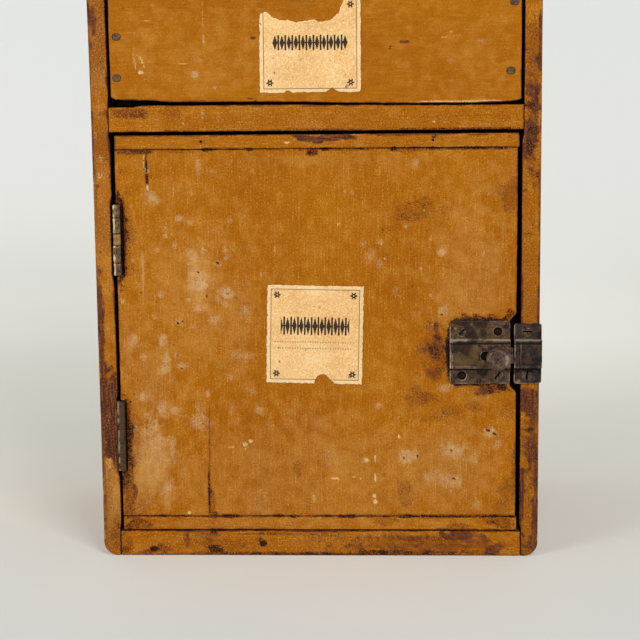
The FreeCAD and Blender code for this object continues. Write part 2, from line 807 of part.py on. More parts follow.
def cupboard():
    """Every piece by name."""
    carcass_nails = side_nail_places(-1) + side_nail_places(1) + top_nail_places(-1) + top_nail_places(1)
    carcass_nail_group = Part.makeCompound([nails(carcass_nails, carcass_nail_length),
                                            nails(stop_nail_places(), stop_nail_length)])
    front_nails = nails(drawer_front_nail_places(), drawer_nail_length, front_nail_roll)
    drawer_nail_group = Part.makeCompound([front_nails, nails(drawer_back_nail_places(), back_nail_length)])
    pieces = {
        "left_side": side_board(-1),
        "right_side": side_board(1),
        "bottom_board": cross_board(0, bottom_thickness),
        "middle_shelf": cross_board(shelf_z, shelf_top_z),
        "top_board": top_board(),
        "door_stop": door_stop(),
        "carcass_nails": carcass_nail_group,
        "back_nails": nails(back_nail_places(), back_nail_length),
        "hinge_frame_screws": screws(all_hinge_screws("frame"), hinge_screw_length, frame_slot_angles),
        "hinge_door_screws": screws(all_hinge_screws("door"), hinge_screw_length, door_slot_angles),
        "keeper": keeper(),
        "keeper_screws": screws(keeper_screw_places(), keeper_screw_length, keeper_slot_angles),
        "door_board_narrow": door_board_narrow(),
        "door_board_wide": door_board_wide(),
        "door_top_clamp": door_clamp(True),
        "door_bottom_clamp": door_clamp(False),
        "door_brads": nails(brad_places(), brad_length, brad=True),
        "door_label": door_label(),
        "latch_case": latch_case(),
        "latch_case_screws": screws(case_hole_places("screwed"), case_screw_length, case_slot_angles),
        "latch_bolt": latch_bolt(),
        "latch_knob": latch_knob(),
        "drawer_front": drawer_front(),
        "drawer_left_side": drawer_side(drawer_x0, drawer_inside_x0, drawer_inside_x0),
        "drawer_right_side": drawer_side(drawer_inside_x1, drawer_x1, drawer_inside_x1),
        "drawer_back": drawer_back(),
        "drawer_bottom": drawer_bottom(),
        "drawer_nails": drawer_nail_group,
        "drawer_knob": drawer_knob(),
        "drawer_label": drawer_label(),
    }
    for number, span in enumerate(back_spans(), start=1):
        pieces[f"back_board_{number}"] = back_board(span)
    for level, z in hinge_heights().items():
        pieces[f"{level}_hinge_frame_leaf"] = hinge_leaf(z, "frame")
        pieces[f"{level}_hinge_door_leaf"] = hinge_leaf(z, "door")
        pieces[f"{level}_hinge_pin"] = hinge_pin(z)
    return pieces


os.makedirs("parts", exist_ok=True)
for name, shape in cupboard().items():
    shape.exportStep(f"parts/{name}.step")
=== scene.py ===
"""Looks of an old apothecary cupboard: worn ochre paint on pine, iron fittings and paper labels.

Lengths are millimetres in the part's own frame until a mesh is written, which is in metres.
+Z is up, the front faces -Y, and the front plane is y = -120.
"""
import json
import math

import bpy
import numpy as np
from mathutils import Matrix, Vector


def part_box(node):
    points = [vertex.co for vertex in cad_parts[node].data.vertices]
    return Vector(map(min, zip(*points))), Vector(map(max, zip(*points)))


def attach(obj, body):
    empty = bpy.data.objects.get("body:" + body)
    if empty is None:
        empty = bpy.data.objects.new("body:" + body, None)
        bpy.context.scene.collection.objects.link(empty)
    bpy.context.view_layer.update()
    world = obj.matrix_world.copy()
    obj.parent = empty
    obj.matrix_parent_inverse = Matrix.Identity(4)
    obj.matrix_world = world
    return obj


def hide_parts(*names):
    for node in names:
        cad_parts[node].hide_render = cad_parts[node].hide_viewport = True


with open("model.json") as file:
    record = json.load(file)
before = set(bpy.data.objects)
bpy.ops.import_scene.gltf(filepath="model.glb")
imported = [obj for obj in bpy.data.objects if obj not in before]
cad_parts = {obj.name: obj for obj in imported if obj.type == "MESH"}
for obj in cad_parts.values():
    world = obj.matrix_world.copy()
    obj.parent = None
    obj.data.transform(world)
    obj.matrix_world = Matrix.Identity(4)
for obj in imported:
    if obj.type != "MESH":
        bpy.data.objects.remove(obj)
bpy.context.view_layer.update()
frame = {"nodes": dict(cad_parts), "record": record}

MM = 0.001

# Carcass: front and back planes, half widths outside and inside, heights of its boards, edges and crown of
# its top, radius of its feet, rebate for the back and the span of each back board
FRONT = -120.0
BACK = 120.0
BACK_FACE = 111.0
HALF = 158.0
INNER = 145.5
BOTTOM_HIGH = 18.5
SHELF_LOW = 307.5
SHELF_HIGH = 325.0
SIDE_TOP = 528.0
TOP_HALF = 166.0
TOP_FRONT = -128.0
TOP_CROWN = 543.8
FOOT = 11.0
REBATE = 6.0
BACK_SPANS = ((-152.0, -51.07), (-50.47, 50.47), (51.07, 152.0))

# Door: its edges and back, the height of a clamp, the joint of its boards and the notch beside the keeper
DOOR_LEFT = -143.2
DOOR_RIGHT = 142.6
DOOR_LOW = 19.3
DOOR_HIGH = 305.3
DOOR_BACK = -105.5
CLAMP = 10.2
JOINT = -80.0
WIDE_RIGHT = DOOR_RIGHT - 1.0
NOTCH_HALF = 23.9
NOTCH_DEPTH = 4.6
NOTCH_REACH = 14.0

# Butt hinges: heights, half length, axis, knuckles, coves round them in the door, leaves and their screws
HINGE_HEIGHTS = {"upper": 231.2, "lower": 89.2}
HINGE_HALF = 25.4
AXIS_X = -142.2
AXIS_Y = -121.0
KNUCKLE = 3.15
COVES = {"upper": 4.5, "lower": 3.55}
COVE_END = 0.8
LEAF = 1.3
FRAME_LEAF_X = -145.5
DOOR_LEAF_X = -143.5
LEAF_SCREW_Y = FRONT + 8.8
LEAF_SCREW_RISE = 14.0

# Latch case: its edges, half height of its raised box, wall of the plate, roof and thinnest wall of the box
CASE_LEFT = 94.1
CASE_RIGHT = 136.8
CASE_LOW = 127.3
CASE_HIGH = 172.3
CASE_BOX = 10.25
WALL = 1.2
ROOF = 6.5
THIN = 0.35
# Holes of the case: screws hold two of them, and the other two have lost theirs
HOLE_LEFT = 102.7
HOLE_RIGHT = 128.2
HOLE_LOW = 133.05
HOLE_HIGH = 164.75
EMPTY_HOLES = ((HOLE_RIGHT, HOLE_HIGH), (HOLE_LEFT, HOLE_LOW))
EMPTY_RADIUS = 1.95
SCREW = 3.2
SCREW_SEAT = SCREW + 0.15
# Bolt: its line, front and back, how low its nose and knob hang, the knob's stem and the slot it runs in
BOLT_Z = 148.9
BOLT_FRONT = -124.7
BOLT_BACK = -120.5
BOLT_DROP = 1.1
STEM_X = 126.9
SLOT_X = 125.0
SLOT_RADIUS = 3.35
SLOT_HALF = 6.1

# Keeper: its edges, half heights of its plate and of its box, and its screws
KEEPER_LEFT = 139.8
KEEPER_RIGHT = 159.2
KEEPER_HALF = 21.7
KEEPER_BOX = 10.1
KEEPER_SCREW_X = 149.0
KEEPER_SCREW_RISE = 15.7

# Drawer: edges, inner face, middle and half width of its front, height of its knob and the knob's length
DRAWER_LEFT = -143.3
DRAWER_RIGHT = 143.7
DRAWER_LOW = 327.2
DRAWER_HIGH = 525.5
DRAWER_INNER = -106.0
DRAWER_MIDDLE = 0.2
DRAWER_HALF = 143.5
DRAWER_KNOB_Z = 425.25
DRAWER_KNOB_LONG = 39.0

# Lower edge of the drawer front, which is worn out of true: height over each x
DRAWER_EDGE_X = (-143.3, -140, -131, -118, -110, -104, -10, 12, 45, 100, 130, 138, 143.7)
DRAWER_EDGE_Z = (332, 330.4, 329.9, 329.8, 329.1, 328.4, 327.8, 327, 326.4, 326.1, 326.6, 327.2, 328.4)
# Front edge of the left side, which leans out: shift in x over each height
LEAN_HEIGHTS = (60.0, 330.0, 400.0, 544.0)
LEAN_SHIFTS = (0.0, -1.3, -2.2, -3.0)
# Inner front edge of the left (-1) and right (1) side: how far it stands in towards the door over each height
STAND_IN_HEIGHTS = {-1: (21, 24, 58, 62, 116, 120, 200, 204, 258, 262, 300, 304, 328, 332, 518, 522),
                    1: (21, 24, 300, 304)}
STAND_IN_SHIFTS = {-1: (0, 0.8, 0.8, 0, 0, 0.8, 0.8, 0, 0, 0.8, 0.8, 0, 0, 0.5, 0.5, 0), 1: (0, 1.1, 1.1, 0)}
# Lip of paint on the upper front edge of the shelf: its rise over each x
LIP_X = (-129.0, -124.0, -20.0, 12.0, 45.0, 80.0)
LIP_RISE = (0.0, 1.2, 1.2, 0.7, 0.4, 0.0)

X = np.array([1.0, 0, 0])
Y = np.array([0, 1.0, 0])
Z = np.array([0, 0, 1.0])


def linear(code):
    """Linear RGBA of an sRGB hex colour."""
    parts = [int(code[i:i + 2], 16) / 255 for i in (1, 3, 5)]
    return tuple(p / 12.92 if p <= 0.04045 else ((p + 0.055) / 1.055) ** 2.4 for p in parts) + (1.0,)


def smooth(low, high, value):
    """Smoothstep: 0 at low, 1 at high, and an eased change between."""
    t = np.clip((value - low) / (high - low), 0, 1)
    return t * t * (3 - 2 * t)


def lattice(cell, seed):
    """Repeatable random number in 0..1 for each cell: the fraction of a large sine of its indices."""
    angle = cell[..., 0] * 127.1 + cell[..., 1] * 311.7 + cell[..., 2] * 74.7 + seed * 19.19
    return np.abs(np.modf(np.sin(angle) * 43758.5453)[0])


def noise(points, seed):
    """Value noise in 0..1: an eased blend of the random numbers at the eight corners of each unit cell."""
    base = np.floor(points)
    t = points - base
    t = t * t * (3 - 2 * t)
    total = np.zeros(points.shape[:-1])
    for corner in np.ndindex(2, 2, 2):
        weight = np.prod(np.where(corner, t, 1 - t), axis=-1)
        total += weight * lattice(base + corner, seed)
    return total


def cloud(points, size, seed, octaves=3):
    """Weighted mean of octaves of noise, 0..1: the first has features of the given size in mm."""
    total = np.zeros(points.shape[:-1])
    for octave in range(octaves):
        total += noise(points / size * 2 ** octave + 13.7 * octave, seed + octave) / 2 ** octave
    return total / (2 - 2 / 2 ** octaves)


def ruled(low, high, pitch, fine=()):
    """Grid lines from low to high about a pitch apart, with the fine ones put in their place."""
    lines = np.linspace(low, high, max(1, round((high - low) / pitch)) + 1)
    fine = np.array([f for f in fine if low < f < high], dtype=float)
    if len(fine):
        gap = np.abs(lines[:, None] - fine[None, :]).min(axis=1)
        keep = gap > 0.45 * pitch
        keep[[0, -1]] = True
        lines = np.concatenate([lines[keep], fine])
    return np.unique(np.round(lines, 4))


def box_grid(xs, ys, zs):
    """Closed surface of a box, gridded on the given lines: points and outward quads."""
    sizes = (len(xs), len(ys), len(zs))
    quads = []
    for axis in range(3):
        first, second = (axis + 1) % 3, (axis + 2) % 3
        u, v = np.meshgrid(np.arange(sizes[first]), np.arange(sizes[second]), indexing="ij")
        for end in (0, sizes[axis] - 1):
            index = [None, None, None]
            index[axis] = np.full_like(u, end)
            index[first] = u
            index[second] = v
            ids = (index[0] * sizes[1] + index[1]) * sizes[2] + index[2]
            around = [ids[:-1, :-1], ids[1:, :-1], ids[1:, 1:], ids[:-1, 1:]]
            if end == 0:
                around.reverse()
            quads.append(np.stack(around, axis=-1).reshape(-1, 4))
    used, quads = np.unique(np.concatenate(quads), return_inverse=True)
    i, j, k = used // (sizes[1] * sizes[2]), used // sizes[2] % sizes[1], used % sizes[2]
    return np.stack([xs[i], ys[j], zs[k]], axis=-1), quads.reshape(-1, 4)


def plate(across, upward, outline, front, back, pitch):
    """Thin pressed or cut sheet, in local (across, up, out) coordinates.

    outline gives the signed distance to the sheet's border, below 0 inside it. Grid points near the border
    are moved onto it along the slope of that distance, cells outside it are left out, and the front and
    back heights are joined by a wall all round. Gives points and quads.
    """
    a, b = np.meshgrid(across, upward, indexing="ij")
    a = a.ravel()
    b = b.ravel()
    step = 0.01
    away = outline(a, b)
    slope_a = (outline(a + step, b) - away) / step
    slope_b = (outline(a, b + step) - away) / step
    near = np.abs(away) < 0.62 * pitch
    a = np.where(near, a - away * slope_a, a)
    b = np.where(near, b - away * slope_b, b)
    ids = np.arange(len(a)).reshape(len(across), len(upward))
    cells = np.stack([ids[:-1, :-1], ids[1:, :-1], ids[1:, 1:], ids[:-1, 1:]], axis=-1).reshape(-1, 4)
    inside = near | (away < 0)
    middle = outline(a[cells].mean(axis=1), b[cells].mean(axis=1))
    cells = cells[inside[cells].all(axis=1) & (middle < 0.15 * pitch)]
    edges = np.concatenate([cells[:, [i, (i + 1) % 4]] for i in range(4)])
    key = edges[:, 0] * len(a) + edges[:, 1]
    border = edges[~np.isin(key, edges[:, 1] * len(a) + edges[:, 0])]
    count = len(a)
    walls = np.stack([border[:, 1], border[:, 0], border[:, 0] + count, border[:, 1] + count], axis=-1)
    faces = np.concatenate([cells, cells[:, ::-1] + count, walls])
    points = np.concatenate([np.stack([a, b, front(a, b)], axis=-1), np.stack([a, b, back(a, b)], axis=-1)])
    used, faces = np.unique(faces, return_inverse=True)
    return points[used], faces.reshape(-1, 4)


def turned(profile, sides):
    """Lathe form: (distance, radius) pairs swept round the distance axis; both ends lie on the axis.

    Gives local (across, up, out) points, quads and the triangles at the two poles.
    """
    profile = np.array(profile, dtype=float)
    angle = np.linspace(0, 2 * math.pi, sides, endpoint=False)
    rings = profile[1:-1]
    points = np.stack([rings[:, 1, None] * np.cos(angle), rings[:, 1, None] * np.sin(angle),
                       np.repeat(rings[:, 0, None], sides, axis=1)], axis=-1).reshape(-1, 3)
    poles = np.array([[0, 0, profile[0, 0]], [0, 0, profile[-1, 0]]])
    ids = np.arange(len(points)).reshape(len(rings), sides)
    right = np.roll(ids, -1, axis=1)
    quads = np.stack([ids[:-1], right[:-1], right[1:], ids[1:]], axis=-1).reshape(-1, 4)
    first = np.stack([right[0], ids[0], np.full(sides, len(points))], axis=-1)
    last = np.stack([ids[-1], right[-1], np.full(sides, len(points) + 1)], axis=-1)
    return np.concatenate([points, poles]), quads, np.concatenate([first, last])


def flow(points, steps):
    """Smooth curve through the given points (Catmull-Rom), with a number of steps between each pair."""
    points = np.array(points, dtype=float)
    before = np.concatenate([points[:1], points[:-2]])
    start, finish = points[:-1], points[1:]
    after = np.concatenate([points[2:], points[-1:]])
    t = np.linspace(0, 1, steps, endpoint=False)[None, :, None]
    before, start, finish, after = [p[:, None, :] for p in (before, start, finish, after)]
    curve = 0.5 * (2 * start + (finish - before) * t + (2 * before - 5 * start + 4 * finish - after) * t ** 2
                   + (3 * start - before - 3 * finish + after) * t ** 3)
    return np.concatenate([curve.reshape(-1, points.shape[1]), points[-1:]])


def laid(local, origin, across, upward):
    """Local (across, up, out) points put in the frame; out is across x up."""
    axes = np.stack([across, upward, np.cross(across, upward)])
    return np.array(origin, dtype=float) + local @ axes


def joined(parts):
    """One set of points and quads from several."""
    starts = np.cumsum([0] + [len(points) for points, _ in parts[:-1]])
    quads = [faces + start for (_, faces), start in zip(parts, starts)]
    return np.concatenate([points for points, _ in parts]), np.concatenate(quads)


def write_mesh(name, points, quads, triangles=None, **values):
    """Smooth-shaded object from whole arrays, with the values as point attributes."""
    corners = [quads.ravel()]
    sizes = [np.full(len(quads), 4)]
    if triangles is not None:
        corners.append(triangles.ravel())
        sizes.append(np.full(len(triangles), 3))
    corners = np.concatenate(corners).astype(np.int32)
    sizes = np.concatenate(sizes)
    mesh = bpy.data.meshes.new(name)
    mesh.vertices.add(len(points))
    mesh.vertices.foreach_set("co", (points * MM).astype(np.float32).ravel())
    mesh.loops.add(len(corners))
    mesh.loops.foreach_set("vertex_index", corners)
    mesh.polygons.add(len(sizes))
    mesh.polygons.foreach_set("loop_start", (np.cumsum(sizes) - sizes).astype(np.int32))
    mesh.polygons.foreach_set("use_smooth", np.ones(len(sizes), dtype=bool))
    mesh.update(calc_edges=True)
    for key, value in values.items():
        layer = mesh.attributes.new(key, "FLOAT", "POINT")
        layer.data.foreach_set("value", np.broadcast_to(value, len(points)).astype(np.float32))
    mesh.validate()
    made = bpy.data.objects.new(name, mesh)
    bpy.context.scene.collection.objects.link(made)
    return made


def dress(made, material, body, slot, *nodes):
    """Gives a piece its material and the body it rides on, and hides the nodes it stands for; slot is not
    used.
    """
    made.data.materials.append(material)
    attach(made, body)
    if nodes:
        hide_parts(*nodes)
    return made


def crisp(made, degrees):
    """Keeps edges sharper than an angle sharp in the shading."""
    made.data.set_sharp_from_angle(angle=math.radians(degrees))
    return made


def add(tree, kind, links=None, **settings):
    """Node of a kind with its settings; links gives an input a value, a socket or a node's first output."""
    made = tree.nodes.new(kind)
    for key, value in settings.items():
        setattr(made, key, value)
    for key, value in (links or {}).items():
        if isinstance(value, bpy.types.Node):
            value = value.outputs[0]
        if isinstance(value, bpy.types.NodeSocket):
            tree.links.new(value, made.inputs[key])
        else:
            made.inputs[key].default_value = value
    return made


def new_material(name):
    """Empty node material: its tree, its surface shader and the Object coordinates."""
    material = bpy.data.materials.new(name)
    material.use_nodes = True
    tree = material.node_tree
    tree.nodes.clear()
    shader = add(tree, "ShaderNodeBsdfPrincipled")
    add(tree, "ShaderNodeOutputMaterial", {"Surface": shader})
    place = add(tree, "ShaderNodeTexCoord").outputs["Object"]
    return material, tree, shader, place


# Sockets of a Mix node that is set to colours: its result and its two inputs
MIX_RESULT = 2
MIX_A = 6
MIX_B = 7


def over(tree, share, below, above):
    """Colour above laid over colour below by a share."""
    mixed = add(tree, "ShaderNodeMix", {0: share, MIX_A: below, MIX_B: above}, data_type="RGBA")
    return mixed.outputs[MIX_RESULT]


def tints(tree, share, *stops):
    """Colour ramp over a share from (position, hex colour) stops."""
    ramp = add(tree, "ShaderNodeValToRGB", {"Fac": share})
    elements = ramp.color_ramp.elements
    elements[0].position, elements[1].position = stops[0][0], stops[-1][0]
    elements[0].color, elements[1].color = linear(stops[0][1]), linear(stops[-1][1])
    for position, code in stops[1:-1]:
        elements.new(position).color = linear(code)
    return ramp


def eased(tree, value, low, high, most=1.0, least=0.0):
    """Smoothstep of a value between low and high, from least to most."""
    return add(tree, "ShaderNodeMapRange", {"Value": value, "From Min": low, "From Max": high,
                                            "To Min": least, "To Max": most}, interpolation_type="SMOOTHSTEP")


def summed(tree, *terms):
    """Sum of (value, factor) terms."""
    total = 0.0
    for value, factor in terms:
        total = add(tree, "ShaderNodeMath", {0: value, 1: factor, 2: total}, operation="MULTIPLY_ADD")
    return total


def speckle(tree, place, size, detail=2.0, roughness=0.5):
    """Noise of a feature size in mm; size is one number or one for each axis."""
    scale = 1.0
    if isinstance(size, tuple):
        place = add(tree, "ShaderNodeMapping", {"Vector": place, "Scale": tuple(1 / (s * MM) for s in size)})
    else:
        scale = 1 / (size * MM)
    return add(tree, "ShaderNodeTexNoise", {"Vector": place, "Scale": scale, "Detail": detail,
                                            "Roughness": roughness})


def along(axis, long, thin):
    """Feature size in mm for each axis: long along the grain, thin across it."""
    return tuple(long if i == axis else thin for i in range(3))


def painted_pine(name, grain_axis):
    """Ochre oil paint brushed on pine, varnished and handled for a century.

    To the eye: a satin brown-mustard skin full of fine pale grit, with painted light on its high points and
    painted shade in its pits, a whitish veil where water has stood on the varnish, brown to black grime in
    the seams with painted shade in the gaps, and red-brown wood where the paint is rubbed away. The grit and
    the brush strokes are about 0.3 mm wide; both are drawn 1.1 mm wide so that they show.
    """
    material, tree, shader, place = new_material(name)
    keys = ("rub", "soil", "bloom", "haze", "chalk", "bare", "grain")
    rub, soil, bloom, haze, chalk, bare, grain = [
        add(tree, "ShaderNodeAttribute", attribute_name=key).outputs["Fac"] for key in keys]
    strokes = speckle(tree, place, along(grain_axis, 18, 1.1), 3.0, 0.6)
    broad = speckle(tree, place, along(grain_axis, 150, 60), 3.0)
    blotch = speckle(tree, place, 9, 4.0, 0.65)
    grit = speckle(tree, place, 1.1, 2.0, 0.7)
    dots = add(tree, "ShaderNodeTexVoronoi", {"Vector": place, "Scale": 1 / (8.5 * MM), "Randomness": 1.0})

    tone = summed(tree, (broad, 0.35), (blotch, 0.4), (strokes, 0.25))
    colour = tints(tree, tone, (0.38, "#9e5800"), (0.5, "#aa6402"), (0.62, "#b4700a")).outputs[0]
    # Painted shade in the grit's pits; pale grit and painted light on its tops, which the bump raises
    pits = eased(tree, grit, 0.48, 0.28, 0.8)
    pit_shade = add(tree, "ShaderNodeMath", {0: pits, 1: grain}, operation="MULTIPLY")
    colour = over(tree, pit_shade, colour, linear("#7c3e00"))
    tops = eased(tree, summed(tree, (grit, 0.65), (strokes, 0.35)), 0.515, 0.69, 0.7)
    pale_grit_and_highlight = add(tree, "ShaderNodeMath", {0: tops, 1: grain}, operation="MULTIPLY")
    colour = over(tree, pale_grit_and_highlight, colour, linear("#dca042"))
    colour = over(tree, eased(tree, dots.outputs["Distance"], 0.09, 0.03, 0.55), colour, linear("#6a3a0c"))

    ragged = summed(tree, (blotch, 0.7), (strokes, 1.0), (grit, 2.5), (-1.1, 1.0))
    sunken = summed(tree, (blotch, 0.7), (strokes, 1.0), (grit, -2.5), (1.4, 1.0))
    broken = [add(tree, "ShaderNodeMath", {0: edges, 1: mark}, operation="MULTIPLY")
              for mark, edges in ((rub, ragged), (soil, sunken), (bloom, ragged), (chalk, ragged))]
    rub, soil, bloom, chalk = broken
    veil = eased(tree, bloom, 0.05, 1.1, 0.2)
    clouded = summed(tree, (haze, 0.42), (blotch, 0.2), (-0.107, 1.0))
    colour = over(tree, clouded, colour, linear("#ffd890"))
    colour = over(tree, veil, colour, linear("#fff2c8"))
    chip = eased(tree, chalk, 0.2, 0.75, 0.8)
    colour = over(tree, chip, colour, linear("#e9c288"))

    timber = tints(tree, summed(tree, (strokes, 0.5), (grit, 0.5)), (0.4, "#2e150e"), (0.5, "#58301f"),
                   (0.6, "#94562c"))
    worn = eased(tree, rub, 0.38, 0.74)
    # Brown then black: thick grime, and painted shade in gaps, hinge coves, small holes and under the latch
    colour = over(tree, eased(tree, soil, 0.12, 0.7, 0.8), colour, linear("#76390a"))
    colour = over(tree, worn, colour, timber)
    dirt = eased(tree, soil, 0.52, 0.95, 0.96)
    colour = over(tree, dirt, colour, linear("#1d100c"))
    inside = tints(tree, tone, (0.38, "#7a5430"), (0.62, "#a57b4c"))
    colour = over(tree, bare, colour, inside)

    gloss = summed(tree, (blotch, 0.2), (worn, 0.2), (0.42, 1.0))
    relief = summed(tree, (strokes, 0.5), (grit, 0.9), (worn, -0.8), (dirt, -0.4))
    bump = add(tree, "ShaderNodeBump", {"Height": relief, "Strength": 0.4, "Distance": 0.2 * MM})
    tree.links.new(colour, shader.inputs["Base Color"])
    tree.links.new(gloss.outputs[0], shader.inputs["Roughness"])
    tree.links.new(bump.outputs[0], shader.inputs["Normal"])
    shader.inputs["Specular IOR Level"].default_value = 0.09
    return material


def raw_pine(name, grain_axis, dark="#664426", middle="#8d6339", light="#a87d4e"):
    """Planed pine that never had paint, browned by age.

    To the eye: soft grain stripes about 4 mm apart, black near the front with grime and painted shade. The
    pores are about 0.2 mm wide and are drawn 0.8 mm wide so that they show.
    """
    material, tree, shader, place = new_material(name)
    stripes = speckle(tree, place, along(grain_axis, 250, 4))
    pores = speckle(tree, place, along(grain_axis, 20, 0.8))
    broad = speckle(tree, place, 80, 4.0)
    tone = summed(tree, (stripes, 0.5), (pores, 0.2), (broad, 0.3))
    wood = tints(tree, tone, (0.28, dark), (0.5, middle), (0.72, light)).outputs[0]
    soot = add(tree, "ShaderNodeAttribute", attribute_name="soot").outputs["Fac"]
    wood = over(tree, soot, wood, linear("#100a06"))
    bump = add(tree, "ShaderNodeBump", {"Height": tone, "Strength": 0.3, "Distance": 0.3 * MM})
    tree.links.new(wood, shader.inputs["Base Color"])
    tree.links.new(bump.outputs[0], shader.inputs["Normal"])
    shader.inputs["Roughness"].default_value = 0.72
    shader.inputs["Specular IOR Level"].default_value = 0.3
    return material


def old_iron(name, dark, light, tinge_colour, bright_colour, shine):
    """Wrought or pressed iron with a brown skin.

    To the eye: a mottled dull sheen with a warm tinge in places, bright where edges are `worn` and where a
    highlight is painted, under what is left of a `coat` of paint, and black where grime has packed and where
    shade is painted. The pits are about 0.2 mm wide and are drawn 1.1 mm wide so that they show.
    """
    material, tree, shader, place = new_material(name)
    worn, coat, dirt = [add(tree, "ShaderNodeAttribute", attribute_name=key).outputs["Fac"]
                        for key in ("worn", "coat", "dirt")]
    blotch = speckle(tree, place, 4, 5.0, 0.7)
    patch = speckle(tree, place, 12, 2.0)
    grit = speckle(tree, place, 1.1, 2.0, 0.7)
    mottle = summed(tree, (blotch, 0.55), (grit, 0.45))
    metal = tints(tree, mottle, (0.43, dark), (0.57, light)).outputs[0]
    metal = over(tree, eased(tree, patch, 0.46, 0.7, 0.55), metal, linear(tinge_colour))
    bright = eased(tree, summed(tree, (worn, 1.0), (mottle, 0.8)), 0.7, 1.3, 0.95)
    metal = over(tree, bright, metal, linear(bright_colour))
    paint = eased(tree, summed(tree, (coat, 1.0), (blotch, 0.6)), 0.7, 1.1)
    paint_colour = tints(tree, mottle, (0.38, "#6d4c1e"), (0.5, "#96692a"), (0.62, "#b58a48"))
    colour = over(tree, paint, metal, paint_colour)
    grease_and_shade = eased(tree, summed(tree, (dirt, 1.0), (mottle, 0.6)), 0.62, 1.1)
    colour = over(tree, grease_and_shade, colour, linear("#0f0a08"))
    clean = eased(tree, summed(tree, (paint, 1.0), (grease_and_shade, 1.0)), 0.0, 1.0, 0.0, shine)
    gloss = summed(tree, (eased(tree, mottle, 0.35, 0.65, 0.6, 0.36), 1.0), (grease_and_shade, 0.35))
    relief = summed(tree, (mottle, 0.9), (paint, 0.5))
    bump = add(tree, "ShaderNodeBump", {"Height": relief, "Strength": 0.35, "Distance": 0.2 * MM})
    tree.links.new(colour, shader.inputs["Base Color"])
    tree.links.new(clean.outputs[0], shader.inputs["Metallic"])
    tree.links.new(gloss.outputs[0], shader.inputs["Roughness"])
    tree.links.new(bump.outputs[0], shader.inputs["Normal"])
    dull = eased(tree, grease_and_shade, 0.0, 1.0, 0.06, 0.5)
    tree.links.new(dull.outputs[0], shader.inputs["Specular IOR Level"])
    return material


def aged_paper(name):
    """Rag paper browned under varnish.

    To the eye: warm cream with brown fox marks, black printing and pale torn rims. The fibres are about
    0.1 mm wide and are drawn 1.2 mm wide so that they show.
    """
    material, tree, shader, place = new_material(name)
    ink, rim, fox = [add(tree, "ShaderNodeAttribute", attribute_name=key).outputs["Fac"]
                     for key in ("ink", "rim", "fox")]
    broad = speckle(tree, place, 18, 4.0)
    fibre = speckle(tree, place, 1.2, 2.0, 0.7)
    tone = summed(tree, (broad, 0.7), (fibre, 0.3))
    colour = tints(tree, tone, (0.34, "#eab571"), (0.5, "#f3c27d"), (0.66, "#f8d092")).outputs[0]
    colour = over(tree, eased(tree, fibre, 0.5, 0.25, 0.45), colour, linear("#a5743c"))
    colour = over(tree, eased(tree, fibre, 0.5, 0.75, 0.6), colour, linear("#fff0d2"))
    torn = eased(tree, summed(tree, (rim, 1.0), (fibre, 0.4)), 0.5, 1.1, 0.8)
    colour = over(tree, torn, colour, linear("#f8e0b4"))
    spot = eased(tree, summed(tree, (fox, 1.0), (fibre, 0.6)), 0.75, 1.1, 0.85)
    colour = over(tree, spot, colour, linear("#4a2c17"))
    print_share = eased(tree, summed(tree, (ink, 1.0), (fibre, 0.25)), 0.45, 0.8, 0.97)
    colour = over(tree, print_share, colour, linear("#1f1714"))
    bump = add(tree, "ShaderNodeBump", {"Height": tone, "Strength": 0.25, "Distance": 0.2 * MM})
    tree.links.new(colour, shader.inputs["Base Color"])
    tree.links.new(bump.outputs[0], shader.inputs["Normal"])
    shader.inputs["Roughness"].default_value = 0.7
    shader.inputs["Specular IOR Level"].default_value = 0.2
    return material


PAINT_UPRIGHT = painted_pine("ochre_paint_upright_grain", 2)
PAINT_LEVEL = painted_pine("ochre_paint_level_grain", 0)
RAW_UPRIGHT = raw_pine("raw_pine_upright_grain", 2)
RAW_LEVEL = raw_pine("raw_pine_level_grain", 0)
RAW_DEEP = raw_pine("raw_pine_grain_to_the_back", 1)
# Colours of the door stop are painted shade: it sits dark behind the gap at the door's edge
RAW_SHADED = raw_pine("raw_pine_shade_black", 2, "#120c08", "#1c130c", "#2a1c12")
HINGE_IRON = old_iron("painted_over_wrought_iron", "#2a1c10", "#8a6a44", "#6a4f22", "#f0dab0", 0.3)
LATCH_IRON = old_iron("bronzed_pressed_iron", "#0e0806", "#70523a", "#5c4418", "#c4b496", 0.45)
KEEPER_IRON = old_iron("dark_bronzed_pressed_iron", "#0c0706", "#4a342a", "#3e2a1a", "#b3a284", 0.45)
KNOB_IRON = old_iron("handled_turned_iron", "#33241c", "#6c5342", "#523a2b", "#c9b9a6", 0.4)
NAIL_IRON = old_iron("rusted_cut_nails", "#241a14", "#6a5540", "#6b4a26", "#a08a6c", 0.3)
PAPER = aged_paper("browned_label_paper")
